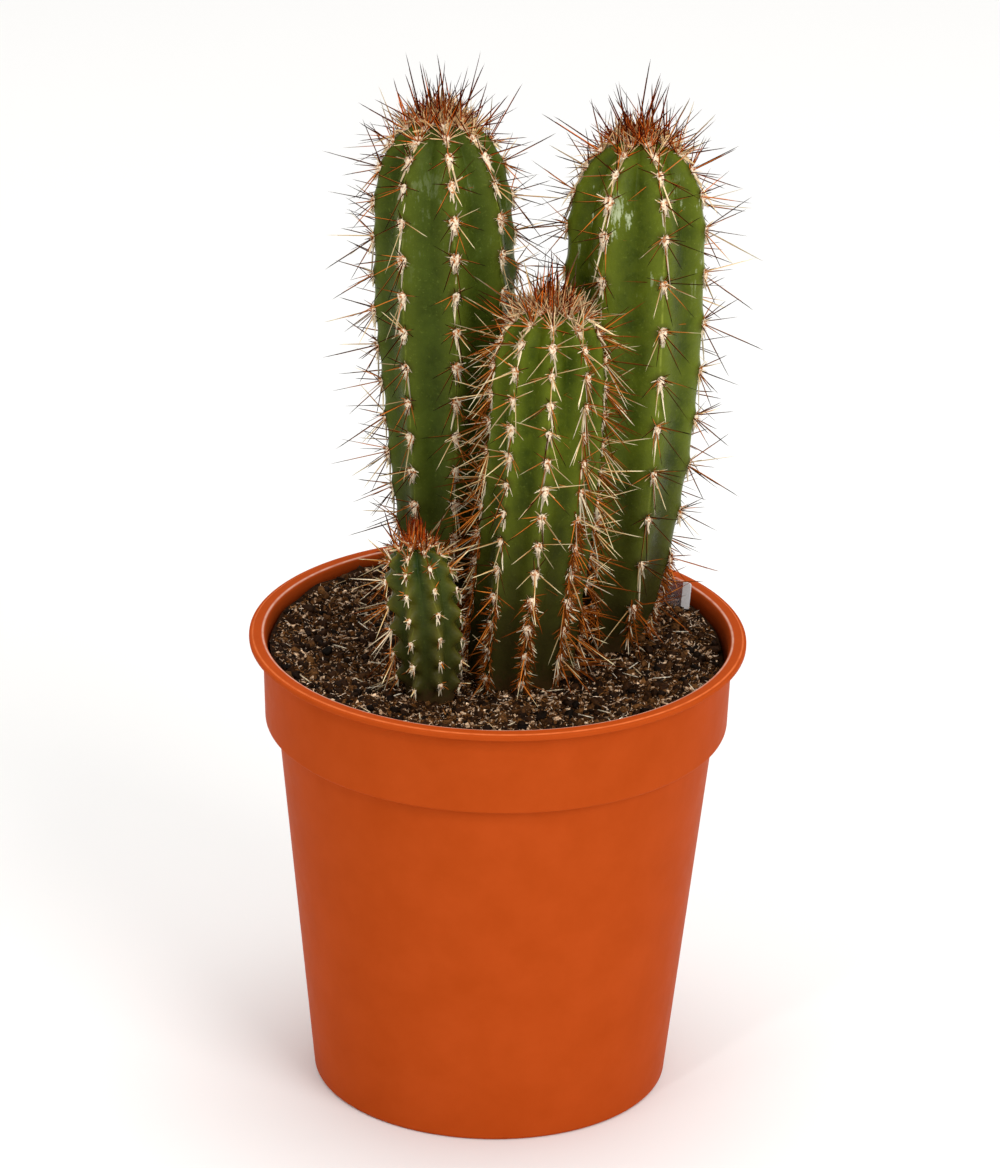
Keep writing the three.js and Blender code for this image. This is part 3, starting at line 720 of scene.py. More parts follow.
def rib_tree():
    """Draws a round column in between its ribs, and swells it under each areole."""
    tree, ends = new_geometry_tree("Ribbed column", [
        ("Ribs", "Int", 8),
        ("Furrow depth", "Float", 0.12),
        ("Crown pleat depth", "Float", 0.22),
        ("Areole swell", "Float", 0.0005),
        ("Areole swell reach", "Float", 0.002),
        ("Crest sag", "Float", 0.0002),
        ("Skin unevenness", "Float", 0.0003),
        ("Skin", "Material", None),
    ])
    crown, turn, girth, step, fade = (
        add(tree, NAMED, name, data_type="FLOAT") for name in ("crown", "turn", "girth", "step", "fade")
    )
    outward, middle = (
        add(tree, NAMED, name, data_type="FLOAT_VECTOR") for name in ("outward", "middle")
    )
    # The ribs are half waves round the column, soft on the stem and sharp in the crown.
    phase = add(tree, MATH, turn, ends["Ribs"], operation="MULTIPLY")
    phase = add(tree, MATH, phase, 0.5, operation="MULTIPLY")
    wave = add(tree, MATH, phase, operation="COSINE")
    wave = add(tree, MATH, wave, operation="ABSOLUTE")
    soft = add(tree, MATH, wave, wave, operation="MULTIPLY")
    form = add(tree, MIX, {0: crown, 2: soft, 3: wave})
    depth = add(tree, MIX, {0: crown, 2: ends["Furrow depth"], 3: ends["Crown pleat depth"]})
    low = add(tree, MATH, 1.0, form, operation="SUBTRACT")
    drawn_in = add(tree, MATH, low, depth, operation="MULTIPLY")
    drawn_in = add(tree, MATH, 1.0, drawn_in, operation="SUBTRACT")
    radius = add(tree, MATH, girth, drawn_in, operation="MULTIPLY")
    # Each areole stands on a bell-shaped swelling, and the crest sinks between two of them.
    step = add(tree, MATH, step, ends["Areole swell reach"], operation="DIVIDE")
    bell = add(tree, MATH, step, step, operation="MULTIPLY")
    bell = add(tree, MATH, bell, -1.0, operation="MULTIPLY")
    bell = add(tree, MATH, bell, operation="EXPONENT")
    crest = add(tree, MATH, wave, 7.0, operation="POWER")
    bump = add(tree, MATH, bell, crest, operation="MULTIPLY")
    swell = add(tree, MATH, bump, ends["Areole swell"], operation="MULTIPLY")
    between = add(tree, MATH, 1.0, bell, operation="SUBTRACT")
    ridge = add(tree, MATH, wave, 3.0, operation="POWER")
    between = add(tree, MATH, between, ridge, operation="MULTIPLY")
    sag = add(tree, MATH, between, ends["Crest sag"], operation="MULTIPLY")
    swell = add(tree, MATH, swell, sag, operation="SUBTRACT")
    swell = add(tree, MATH, swell, fade, operation="MULTIPLY")
    radius = add(tree, MATH, radius, swell, operation="ADD")
    place = add(tree, VECTOR, {0: outward, 3: radius}, operation="SCALE")
    place = add(tree, VECTOR, middle, place, operation="ADD")
    noise = add(tree, NOISE, {"Vector": place, "Scale": 110.0, "Detail": 2.0})
    uneven = add(tree, MATH, noise, 0.5, operation="SUBTRACT")
    uneven = add(tree, MATH, uneven, ends["Skin unevenness"], operation="MULTIPLY")
    uneven = add(tree, MATH, uneven, fade, operation="MULTIPLY")
    wobble = add(tree, VECTOR, {0: outward, 3: uneven}, operation="SCALE")
    skin = ends["Geometry"]
    for name, value in (("crest", wave), ("near_areole", bump)):
        skin = add(tree, STORE, {"Geometry": skin, "Name": name, "Value": value}, data_type="FLOAT")
    skin = add(tree, "GeometryNodeSetPosition", {0: skin, "Position": place, "Offset": wobble})
    return ended(tree, skin, ends["Skin"])


def spine_tree():
    """Grows one bent, tapering spine from every point, along the point's own direction."""
    tree, ends = new_geometry_tree("Spines", [
        ("Stoutness", "Float", 1.0),
        ("Bow in radii", "Float", 2.2),
        ("Sides", "Int", 5),
        ("Segments", "Int", 4),
        ("Taper", "Float", 1.6),
        ("Seed", "Int", 3),
        ("Spine", "Material", None),
    ])
    bow = add(tree, "ShaderNodeCombineXYZ", {"X": ends["Bow in radii"], "Z": 0.55})
    line = {"Resolution": ends["Segments"], "Start": (0, 0, 0), "Middle": bow, "End": (0, 0, 1)}
    line = add(tree, "GeometryNodeCurveQuadraticBezier", line)
    along = add(tree, "GeometryNodeSplineParameter")
    width = add(tree, MATH, along, ends["Taper"], operation="POWER")
    width = add(tree, MATH, width, 0.93, operation="MULTIPLY")
    width = add(tree, MATH, 1.0, width, operation="SUBTRACT")
    width = add(tree, MATH, width, ends["Stoutness"], operation="MULTIPLY")
    line = add(tree, STORE, {"Geometry": line, "Name": "along", "Value": along}, data_type="FLOAT")
    ring = add(tree, "GeometryNodeCurvePrimitiveCircle", {"Resolution": ends["Sides"], "Radius": 1.0})
    needle = {"Curve": line, "Profile Curve": ring, "Scale": width, "Fill Caps": True}
    needle = add(tree, "GeometryNodeCurveToMesh", needle)
    aim = add(tree, NAMED, "direction", data_type="FLOAT_VECTOR")
    aim = add(tree, "FunctionNodeAlignRotationToVector", {"Vector": aim}, axis="Z")
    roll = add(tree, RANDOM, {2: 0.0, 3: 6.283, "Seed": ends["Seed"]}, data_type="FLOAT", out=1)
    roll = add(tree, "FunctionNodeAxisAngleToRotation", {"Axis": (0, 0, 1), "Angle": roll})
    aim = add(tree, "FunctionNodeRotateRotation", aim, roll, rotation_space="LOCAL")
    length = add(tree, NAMED, "length", data_type="FLOAT")
    girth = add(tree, NAMED, "radius", data_type="FLOAT")
    size = add(tree, "ShaderNodeCombineXYZ", girth, girth, length)
    grown = {"Points": ends["Geometry"], "Instance": needle, "Rotation": aim, "Scale": size}
    return ended(tree, add(tree, "GeometryNodeInstanceOnPoints", grown), ends["Spine"])


def wool_tree():
    """Sets a woolly pad on every areole, with short hairs all over it."""
    tree, ends = new_geometry_tree("Areole wool", [
        ("Pad width", "Float", 0.0016),
        ("Pad length", "Float", 0.0024),
        ("Pad height", "Float", 0.0015),
        ("Tail", "Float", 1.2),
        ("Hair length", "Float", 0.0012),
        ("Hair thickness", "Float", 0.00007),
        ("Hair density", "Float", 3.2e6),
        ("Seed", "Int", 5),
        ("Wool", "Material", None),
    ])
    ball = add(tree, "GeometryNodeMeshIcoSphere", {"Radius": 0.5, "Subdivisions": 2})
    lumps = add(tree, NOISE, {"Scale": 2.6, "Detail": 1.0}, out=1)
    lumps = add(tree, VECTOR, lumps, (0.5, 0.5, 0.5), operation="SUBTRACT")
    lumps = add(tree, VECTOR, {0: lumps, 3: 0.6}, operation="SCALE")
    # The pad is a teardrop, drawn out and narrowed downwards.
    sides = add(tree, "ShaderNodeSeparateXYZ", add(tree, "GeometryNodeInputPosition"), out=None).outputs
    down = add(tree, RANGE, {0: sides[1], 1: 0.15, 2: -0.5})
    narrow = add(tree, RANGE, {0: down, 3: 1.0, 4: 0.3})
    draw_out = add(tree, MATH, down, ends["Tail"], operation="MULTIPLY")
    draw_out = add(tree, MATH, 1.0, draw_out, operation="ADD")
    across = add(tree, MATH, sides[0], narrow, operation="MULTIPLY")
    along = add(tree, MATH, sides[1], draw_out, operation="MULTIPLY")
    thick = add(tree, MATH, sides[2], narrow, operation="MULTIPLY")
    drop = add(tree, "ShaderNodeCombineXYZ", across, along, thick)
    ball = add(tree, STORE, {"Geometry": ball, "Name": "low", "Value": down}, data_type="FLOAT")
    ball = add(tree, "GeometryNodeSetPosition", {0: ball, "Position": drop, "Offset": lumps})
    facing = add(tree, NAMED, "facing", data_type="FLOAT_VECTOR")
    climb = add(tree, NAMED, "climb", data_type="FLOAT_VECTOR")
    aim = {"Primary Axis": facing, "Secondary Axis": climb}
    aim = add(tree, "FunctionNodeAxesToRotation", aim, primary_axis="Z", secondary_axis="Y")
    form = add(tree, "ShaderNodeCombineXYZ", ends["Pad width"], ends["Pad length"], ends["Pad height"])
    size = add(tree, NAMED, "size", data_type="FLOAT")
    form = add(tree, VECTOR, {0: form, 3: size}, operation="SCALE")
    pads = {"Points": ends["Geometry"], "Instance": ball, "Rotation": aim, "Scale": form}
    pads = add(tree, "GeometryNodeInstanceOnPoints", pads)
    pads = add(tree, "GeometryNodeRealizeInstances", pads)
    beds = {"Mesh": pads, "Density": ends["Hair density"], "Seed": ends["Seed"]}
    beds = add(tree, "GeometryNodeDistributePointsOnFaces", beds, out=None)
    stray = {0: (-0.7, -0.7, -0.7), 1: (0.7, 0.7, 0.7), "Seed": ends["Seed"]}
    stray = add(tree, RANDOM, stray, data_type="FLOAT_VECTOR")
    lie = add(tree, VECTOR, beds.outputs["Normal"], stray, operation="ADD")
    lie = add(tree, "FunctionNodeAlignRotationToVector", {"Vector": lie}, axis="Z")
    hair = {
        "Vertices": 3,
        "Radius Top": 0.0,
        "Radius Bottom": ends["Hair thickness"],
        "Depth": ends["Hair length"],
    }
    hair = add(tree, "GeometryNodeMeshCone", hair)
    size = add(tree, RANDOM, {2: 0.5, 3: 1.3, "Seed": ends["Seed"]}, data_type="FLOAT", out=1)
    hairs = {"Points": beds.outputs["Points"], "Instance": hair, "Rotation": lie, "Scale": size}
    hairs = add(tree, "GeometryNodeInstanceOnPoints", hairs)
    hairs = add(tree, "GeometryNodeRealizeInstances", hairs)
    both = add(tree, "GeometryNodeJoinGeometry", pads, out=None)
    tree.links.new(hairs, both.inputs[0])
    return ended(tree, both.outputs[0], ends["Wool"])


def scatter_tree(rounds):
    """Strews crumbs over the soil: lumps if their form has rounds of subdivision, or else sharp bits."""
    tree, ends = new_geometry_tree("Strewn crumbs", [
        ("Density", "Float", 1.0e6),
        ("Smallest", "Float", 0.0005),
        ("Largest", "Float", 0.002),
        ("Stretch", "Float", 1.4),
        ("Flatness", "Float", 0.7),
        ("Steepest", "Float", 3.1),
        ("Lift", "Float", 0.0),
        ("Seed", "Int", 1),
        ("Crumb", "Material", None),
    ])
    position = add(tree, "GeometryNodeInputPosition")
    kinds = add(tree, "GeometryNodeJoinGeometry", out=None)
    for k in range(4):
        knap = add(tree, VECTOR, position, (3.1 * k, 1.7 * k, k), operation="ADD")
        knap = add(tree, NOISE, {"Vector": knap, "Scale": 1.9, "Detail": 1.0}, out=1)
        knap = add(tree, VECTOR, knap, (0.5, 0.5, 0.5), operation="SUBTRACT")
        knap = add(tree, VECTOR, {0: knap, 3: 0.9}, operation="SCALE")
        if rounds:
            chip = add(tree, "GeometryNodeMeshIcoSphere", {"Radius": 0.5, "Subdivisions": rounds})
        else:
            chip = add(tree, "GeometryNodeMeshCube", {"Size": (0.8, 0.8, 0.8)})
        chip = add(tree, "GeometryNodeSetPosition", {0: chip, "Offset": knap})
        tree.links.new(add(tree, "GeometryNodeGeometryToInstance", chip), kinds.inputs[0])
    loose = add(tree, NAMED, "loose", data_type="FLOAT")
    density = add(tree, MATH, loose, ends["Density"], operation="MULTIPLY")
    beds = {"Mesh": ends["Geometry"], "Density": density, "Seed": ends["Seed"]}
    beds = add(tree, "GeometryNodeDistributePointsOnFaces", beds)
    few = add(tree, RANDOM, {2: 0.0, 3: 1.0, "Seed": ends["Seed"]}, data_type="FLOAT", out=1)
    few = add(tree, MATH, few, 2.6, operation="POWER")
    size = add(tree, MIX, {0: few, 2: ends["Smallest"], 3: ends["Largest"]})
    far = add(tree, MATH, size, ends["Stretch"], operation="MULTIPLY")
    low = add(tree, MATH, size, ends["Flatness"], operation="MULTIPLY")
    form = add(tree, "ShaderNodeCombineXYZ", size, far, low)
    steep = add(tree, MATH, ends["Steepest"], -1.0, operation="MULTIPLY")
    least = add(tree, "ShaderNodeCombineXYZ", steep, steep, -3.1416)
    most = add(tree, "ShaderNodeCombineXYZ", ends["Steepest"], ends["Steepest"], 3.1416)
    tumble = add(tree, RANDOM, {0: least, 1: most, "Seed": ends["Seed"]}, data_type="FLOAT_VECTOR")
    tumble = add(tree, "FunctionNodeEulerToRotation", tumble)
    kind = add(tree, RANDOM, {4: 0, 5: 3, "Seed": ends["Seed"]}, data_type="INT", out=2)
    tone = add(tree, RANDOM, {2: 0.0, 3: 1.0, "Seed": 77}, data_type="FLOAT", out=1)
    points = add(tree, STORE, {"Geometry": beds, "Name": "tone", "Value": tone}, data_type="FLOAT")
    lift = add(tree, "ShaderNodeCombineXYZ", {"Z": ends["Lift"]})
    points = add(tree, "GeometryNodeSetPosition", {0: points, "Offset": lift})
    strewn = {
        "Points": points,
        "Instance": kinds.outputs[0],
        "Pick Instance": True,
        "Instance Index": kind,
        "Rotation": tumble,
        "Scale": form,
    }
    return ended(tree, add(tree, "GeometryNodeInstanceOnPoints", strewn), ends["Crumb"])


# ------------------------------------------------------------------ materials


def moulded_plastic(colour, shade, roughness):
    """Injection-moulded polypropylene: even satin colour, with the mould's fine grain in its shine."""
    material, tree = new_material("Moulded polypropylene")
    place = add(tree, "ShaderNodeTexCoord", out=3)
    # Pigment streaks about 12 mm across, barely lighter and darker than each other.
    streaks = {"Vector": place, "Scale": 85.0, "Detail": 6.0, "Roughness": 0.6}
    clouds = add(tree, RANGE, {0: add(tree, NOISE, streaks), 1: 0.3, 2: 0.7})
    tint = add(tree, MIX, {0: clouds, 6: colour, 7: shade}, **COLOUR)
    # The mould's grain, 0.5 mm across, and handling marks a few millimetres long.
    grain = add(tree, NOISE, {"Vector": place, "Scale": 1900.0, "Detail": 2.0})
    marks = add(tree, NOISE, {"Vector": place, "Scale": 260.0, "Detail": 4.0})
    # Painted rings of light and shade: highlights along the lip's inner edge and outer bead, and shadow
    # lines under the lip and at the step; their radius, height, width, strength and colour.
    painted_rings = (
        (LIP_INNER_RADIUS - 0.1, POT_HEIGHT - 0.1, 0.4, 0.7, "F0C4AE"),
        (LIP_RADIUS - 0.85, POT_HEIGHT - 0.1, 0.35, 0.6, "EE8048"),
        (COLLAR_TOP_RADIUS + 0.1, POT_HEIGHT - LIP_THICKNESS - 0.3, 0.55, 0.7, "58200A"),
        (BODY_TOP_RADIUS, COLLAR_FOOT_Z - 0.25, 0.6, 0.7, "58200A"),
    )
    height = add(tree, "ShaderNodeSeparateXYZ", place, out=2)
    flat = add(tree, VECTOR, place, (1.0, 1.0, 0.0), operation="MULTIPLY")
    radius = add(tree, VECTOR, flat, operation="LENGTH", out=1)
    section = add(tree, "ShaderNodeCombineXYZ", {"X": radius, "Z": height})
    patchy = add(tree, RANGE, {0: marks, 1: 0.3, 2: 0.55, 3: 0.5, 4: 1.0})
    for ring, level, width, strength, code in painted_rings:
        away = add(tree, VECTOR, section, (ring * MM, 0.0, level * MM), operation="DISTANCE", out=1)
        painted_ring = add(tree, RANGE, {0: away, 1: width * MM, 2: 0.1 * width * MM, 3: 0.0, 4: strength})
        painted_ring = add(tree, MATH, painted_ring, patchy, operation="MULTIPLY")
        tint = add(tree, MIX, {0: painted_ring, 6: tint, 7: linear(code)}, **COLOUR)
    # Painted shade, with some clinging peat dust, darkens the inside of the collar, most just over the
    # soil.
    foot = (COLLAR_FOOT_RADIUS - COLLAR_FOOT_Z * COLLAR_SLOPE) * MM
    outside = add(tree, MATH, height, COLLAR_SLOPE, foot, operation="MULTIPLY_ADD")
    depth = add(tree, MATH, outside, radius, operation="SUBTRACT")
    inside = add(tree, RANGE, {0: depth, 1: 0.35 * MM, 2: 0.7 * MM})
    over = add(tree, RANGE, {0: height, 1: (COLLAR_FOOT_Z + 1) * MM, 2: (COLLAR_FOOT_Z + 2) * MM})
    thin, thick = (POT_HEIGHT - 0.8) * MM, (POT_HEIGHT - 6) * MM
    under = add(tree, RANGE, {0: height, 1: thin, 2: thick, 3: 0.1, 4: 0.85})
    dust_and_shade = add(tree, MATH, inside, over, operation="MULTIPLY")
    dust_and_shade = add(tree, MATH, dust_and_shade, under, operation="MULTIPLY")
    tint = add(tree, MIX, {0: dust_and_shade, 6: tint, 7: linear("2E1208")}, **COLOUR)
    gloss = add(tree, RANGE, {0: marks, 1: 0.25, 2: 0.75, 3: roughness - 0.04, 4: roughness + 0.05})
    relief = add(tree, "ShaderNodeBump", {"Strength": 0.4, "Distance": 0.00004, "Height": grain})
    relief = {"Strength": 0.2, "Distance": 0.0002, "Height": marks, "Normal": relief}
    return surfaced(material, {
        "Base Color": tint,
        "Roughness": gloss,
        "Normal": add(tree, "ShaderNodeBump", relief),
        "IOR": 1.49,
        "Specular IOR Level": 0.008,
        "Subsurface Weight": 0.03,
        "Subsurface Radius": (0.0025, 0.0009, 0.0004),
    })


def cactus_skin(name, green, stem):
    """Living cactus skin: smooth and waxy, olive green, with light lines on its crests and a dark foot, and
    painted highlights on its crests and shoulders and painted shadow round its pads.
    """
    material, tree = new_material(name)
    deep, fresh = stem.greens
    place = add(tree, "ShaderNodeTexCoord", out=3)
    height = add(tree, "ShaderNodeSeparateXYZ", place, out=2)
    crest = add(tree, "ShaderNodeAttribute", attribute_name="crest", out=2)
    areole = add(tree, "ShaderNodeAttribute", attribute_name="near_areole", out=2)
    # Patches of lighter and darker green, 10 mm across, blotches of 2 mm and flecks of 0.7 mm.
    grains = ((95.0, 6.0, 0.65), (420.0, 5.0, 0.7), (1500.0, 2.0, 0.5))
    patches, rough, flecks = (
        add(tree, NOISE, {"Vector": place, "Scale": scale, "Detail": detail, "Roughness": roughness})
        for scale, detail, roughness in grains
    )
    patches = add(tree, RANGE, {0: patches, 1: 0.36, 2: 0.64})
    # The crests are painted lighter, towards the fresh green, as a painted highlight where the ribs stand
    # out into the light.
    ridge = add(tree, MATH, crest, 3.0, operation="POWER")
    ridge = add(tree, MATH, ridge, 0.65, operation="MULTIPLY")
    # The line along a crest is a millimetre wide and broken.
    line = add(tree, RANGE, {0: crest, 1: 0.992, 2: 0.9992})
    broken = {0: rough, 1: 0.42, 2: 0.56, 3: 0.15 * stem.crest_line, 4: stem.crest_line}
    line = add(tree, MATH, line, add(tree, RANGE, broken), operation="MULTIPLY")
    # Round each pad the skin turns to the halo colour, which on most stems is painted shadow under the pad.
    halo = add(tree, RANGE, {0: areole, 1: 0.25, 2: 0.85, 3: 0.0, 4: 0.75})
    specks = add(tree, RANGE, {0: flecks, 1: 0.62, 2: 0.76, 3: 0.0, 4: 0.22})
    # Painted highlights round the shoulders: whitish glints on the wax, in streaks 0.7 mm wide and 17 mm
    # long.
    above = add(tree, RANGE, {0: height, 1: (stem.dome - 12) * MM, 2: (stem.dome + 8) * MM})
    below = add(tree, RANGE, {0: height, 1: (stem.apex - 6) * MM, 2: (stem.apex - 14) * MM})
    streaks = add(tree, "ShaderNodeMapping", {"Vector": place, "Scale": (1500.0, 1500.0, 60.0)})
    streaks = add(tree, NOISE, {"Vector": streaks, "Scale": 1.0, "Detail": 4.0, "Roughness": 0.6})
    streaks = add(tree, MATH, streaks, patches, operation="MULTIPLY")
    streaks = add(tree, RANGE, {0: streaks, 1: 0.42, 2: 0.52, 3: 0.0, 4: stem.painted_glints})
    painted_glints = add(tree, MATH, above, below, operation="MULTIPLY")
    painted_glints = add(tree, MATH, painted_glints, streaks, operation="MULTIPLY")
    # Old skin darkens towards the soil, and is brown and corky where it meets it.
    start, done = stem.aged
    aged = add(tree, RANGE, {0: height, 1: start * MM, 2: done * MM, 3: 0.0, 4: 0.88})
    cork = add(tree, RANGE, {0: height, 1: 0.124, 2: 0.108, 3: -0.3, 4: 0.75}, clamp=False)
    cork = add(tree, MATH, cork, rough, operation="ADD")
    cork = add(tree, RANGE, {0: cork, 1: 0.85, 2: 1.15, 3: 0.0, 4: 0.8})
    # Each tone lies over those before it.
    tint = add(tree, MIX, {0: patches, 6: linear(deep), 7: green}, **COLOUR)
    coats = (
        (ridge, fresh),
        (line, "98A040"),
        (halo, stem.halo),
        (specks, "8A9A42"),
        (painted_glints, "C2CBA6"),
        (aged, "2E2412"),
        (cork, "3E2A14"),
    )
    for share, code in coats:
        tint = add(tree, MIX, {0: share, 6: tint, 7: linear(code)}, **COLOUR)
    wax = add(tree, RANGE, {0: patches, 3: 0.2, 4: 0.45})
    relief = add(tree, "ShaderNodeBump", {"Strength": 0.35, "Distance": 0.00008, "Height": flecks})
    relief = {"Strength": 0.55, "Distance": 0.0005, "Height": rough, "Normal": relief}
    return surfaced(material, {
        "Base Color": tint,
        "Roughness": add(tree, MIX, {0: cork, 2: wax, 3: 0.85}),
        "Normal": add(tree, "ShaderNodeBump", relief),
        "IOR": 1.45,
        "Specular IOR Level": stem.gloss,
        "Subsurface Weight": 0.05,
        "Subsurface Radius": (0.0008, 0.0012, 0.0003),
    })


def spine_horn(shaft, young_shaft, old_shaft):
    """Cactus spines: hard horn, slightly glossy, warm at the root, dark or bleached at the tip."""
    material, tree = new_material("Spine horn")
    reads = ("along", "young", "pale", "age", "tone", "heart", "light_tip")
    along, young, white, age, tone, heart, light = (
        add(tree, "ShaderNodeAttribute", attribute_name=name, out=2) for name in reads
    )
    rooted = add(tree, RANGE, {0: along, 1: 0.0, 2: 0.26})
    tipped = add(tree, RANGE, {0: along, 1: 0.3, 2: 0.72})
    # A grown spine: tan root, brown shaft, and a tip that is dark, rusty with age, or bleached.
    middle = add(tree, MIX, {0: age, 6: shaft, 7: old_shaft}, **COLOUR)
    middle = add(tree, MIX, {0: light, 6: middle, 7: linear("C89E5E")}, **COLOUR)
    end = add(tree, MIX, {0: age, 6: linear("1A0C07"), 7: linear("7A3810")}, **COLOUR)
    end = add(tree, MIX, {0: light, 6: end, 7: linear("F6E4B4")}, **COLOUR)
    grown = add(tree, MIX, {0: rooted, 6: linear("C4702A"), 7: middle}, **COLOUR)
    grown = add(tree, MIX, {0: tipped, 6: grown, 7: end}, **COLOUR)
    # A young one is darker, with an orange root, and in the heart of the crown all orange.
    base = add(tree, MIX, {0: heart, 6: linear("D4661C"), 7: linear("F89440")}, **COLOUR)
    middle = add(tree, MIX, {0: heart, 6: young_shaft, 7: linear("D85A16")}, **COLOUR)
    end = add(tree, MIX, {0: heart, 6: linear("360E08"), 7: linear("7A240A")}, **COLOUR)
    fresh = add(tree, MIX, {0: rooted, 6: base, 7: middle}, **COLOUR)
    fresh = add(tree, MIX, {0: tipped, 6: fresh, 7: end}, **COLOUR)
    tint = add(tree, MIX, {0: young, 6: grown, 7: fresh}, **COLOUR)
    # Short and hanging ones are bleached to cream.
    calm = add(tree, RANGE, {0: young, 3: 1.0, 4: 0.88})
    faded = add(tree, MATH, white, calm, operation="MULTIPLY")
    cream = add(tree, MIX, {0: young, 6: linear("F8E8C6"), 7: linear("F4CE92")}, **COLOUR)
    tint = add(tree, MIX, {0: faded, 6: tint, 7: cream}, **COLOUR)
    value = add(tree, RANGE, {0: tone, 3: 0.4, 4: 1.3})
    tint = add(tree, "ShaderNodeHueSaturation", {"Value": value, "Color": tint})
    looks = {"Base Color": tint, "Roughness": 0.5, "IOR": 1.54, "Specular IOR Level": 0.01}
    return surfaced(material, looks)


def areole_wool(colour):
    """Areole wool: short matted plant hair, dull and soft, cream, and orange-tan at the top and between."""
    material, tree = new_material("Areole wool")
    place = add(tree, "ShaderNodeTexCoord", out=3)
    low = add(tree, "ShaderNodeAttribute", attribute_name="low", out=2)
    # Tufts about 0.7 mm across.
    tufts = add(tree, NOISE, {"Vector": place, "Scale": 1400.0, "Detail": 3.0})
    low = add(tree, MATH, low, 0.16, operation="MULTIPLY")
    tufts = add(tree, MATH, tufts, low, operation="ADD")
    tufts = add(tree, RANGE, {0: tufts, 1: 0.4, 2: 0.56})
    tint = add(tree, MIX, {0: tufts, 6: linear("BC6E2C"), 7: colour}, **COLOUR)
    return surfaced(material, {"Base Color": tint, "Roughness": 0.95, "Specular IOR Level": 0.2})


def moist_peat(colour, shade):
    """Moist peat soil: dark and crumbly, with a faint wet shine on its lumps and painted shade in its
    hollows.
    """
    material, tree = new_material("Moist peat")
    place = add(tree, "ShaderNodeTexCoord", out=3)
    # Clods about 2 mm across, whose hollows are painted in the shade colour as painted shade.
    clods = add(tree, NOISE, {"Vector": place, "Scale": 520.0, "Detail": 6.0, "Roughness": 0.7})
    grade = add(tree, RANGE, {0: clods, 1: 0.35, 2: 0.65})
    tint = add(tree, MIX, {0: grade, 6: shade, 7: colour}, **COLOUR)
    wet = add(tree, RANGE, {0: clods, 1: 0.3, 2: 0.7, 3: 0.95, 4: 0.6})
    relief = add(tree, "ShaderNodeBump", {"Strength": 0.9, "Distance": 0.0012, "Height": clods})
    looks = {"Base Color": tint, "Roughness": wet, "Normal": relief, "Specular IOR Level": 0.05}
    return surfaced(material, looks)


def peat_crumbs(name, tones, pale_from):
    """Loose crumbs of peat, bark and fibre: each one its own brown, a few of them pale."""
    material, tree = new_material(name)
    dark, middle, light = (linear(code) for code in tones)
    place = add(tree, "ShaderNodeTexCoord", out=3)
    tone = add(tree, "ShaderNodeAttribute", attribute_name="tone", out=2)
    brown = add(tree, RANGE, {0: tone, 1: 0.0, 2: pale_from})
    tint = add(tree, MIX, {0: brown, 6: dark, 7: middle}, **COLOUR)
    pale = add(tree, RANGE, {0: tone, 1: pale_from, 2: 1.0})
    tint = add(tree, MIX, {0: pale, 6: tint, 7: light}, **COLOUR)
    # Stains about 0.6 mm across.
    stain = add(tree, NOISE, {"Vector": place, "Scale": 1600.0, "Detail": 3.0})
    value = add(tree, RANGE, {0: stain, 1: 0.35, 2: 0.65, 3: 0.45, 4: 1.35})
    tint = add(tree, "ShaderNodeHueSaturation", {"Value": value, "Color": tint})
    return surfaced(material, {"Base Color": tint, "Roughness": 0.65, "Specular IOR Level": 0.06})


def clear_polystyrene(colour):
    """A cut sheet of clear polystyrene: what is behind it shows through, dulled by fine scuffs."""
    material, tree = new_material("Clear polystyrene")
    place = add(tree, "ShaderNodeTexCoord", out=3)
    # Scuffs a millimetre or two long.
    scuffs = {"Vector": place, "Scale": 700.0, "Detail": 4.0, "Distortion": 1.5}
    dull = add(tree, RANGE, {0: add(tree, NOISE, scuffs), 3: 0.05, 4: 0.25})
    looks = {"Base Color": colour, "Roughness": dull, "IOR": 1.15, "Transmission Weight": 0.92}
    return surfaced(material, looks)


def frosted_polystyrene(colour):
    """The label's frosted side bands: pale, dull and hardly see-through."""
    material, tree = new_material("Frosted polystyrene")
    place = add(tree, "ShaderNodeTexCoord", out=3)
    # The frosting's grain, drawn 0.5 mm across so that it shows.
    grain = add(tree, NOISE, {"Vector": place, "Scale": 1900.0, "Detail": 2.0})
    value = add(tree, RANGE, {0: grain, 1: 0.3, 2: 0.7, 3: 0.9, 4: 1.05})
    tint = add(tree, "ShaderNodeHueSaturation", {"Value": value, "Color": colour})
    looks = {"Base Color": tint, "Roughness": 0.55, "IOR": 1.2, "Transmission Weight": 0.25}
    return surfaced(material, looks)


def matt_sweep(colour):
    """A studio floor's matt paper: even and pale, with the faintest mottle, 12 cm across."""
    material, tree = new_material("Matt paper")
    place = add(tree, "ShaderNodeTexCoord", out=3)
    mottle = add(tree, NOISE, {"Vector": place, "Scale": 8.0, "Detail": 2.0})
    value = add(tree, RANGE, {0: mottle, 3: 0.985, 4: 1.0})
    tint = add(tree, "ShaderNodeHueSaturation", {"Value": value, "Color": colour})
    return surfaced(material, {"Base Color": tint, "Roughness": 0.9})


# ------------------------------------------------------------------ settings


def length_setting(name, description, millimetres):
    """A length that a user can change, shown in the scene's units."""
    return bpy.props.FloatProperty(
        name=name, description=description, default=millimetres * MM, min=0.0, unit="LENGTH", precision=5
    )


def colour_setting(name, description, code):
    """A colour that a user can change, from its sRGB hex code."""
    return bpy.props.FloatVectorProperty(
        name=name, description=description, subtype="COLOR", size=4, default=linear(code), min=0.0, max=1.0
    )


def amount_setting(name, description, amount):
    """An amount that a user can change, never under zero."""
    return bpy.props.FloatProperty(name=name, description=description, default=amount, min=0.0)


def count_setting(name, description, count, least, most=1000):
    """A whole number that a user can change."""
    return bpy.props.IntProperty(name=name, description=description, default=count, min=least, max=most)


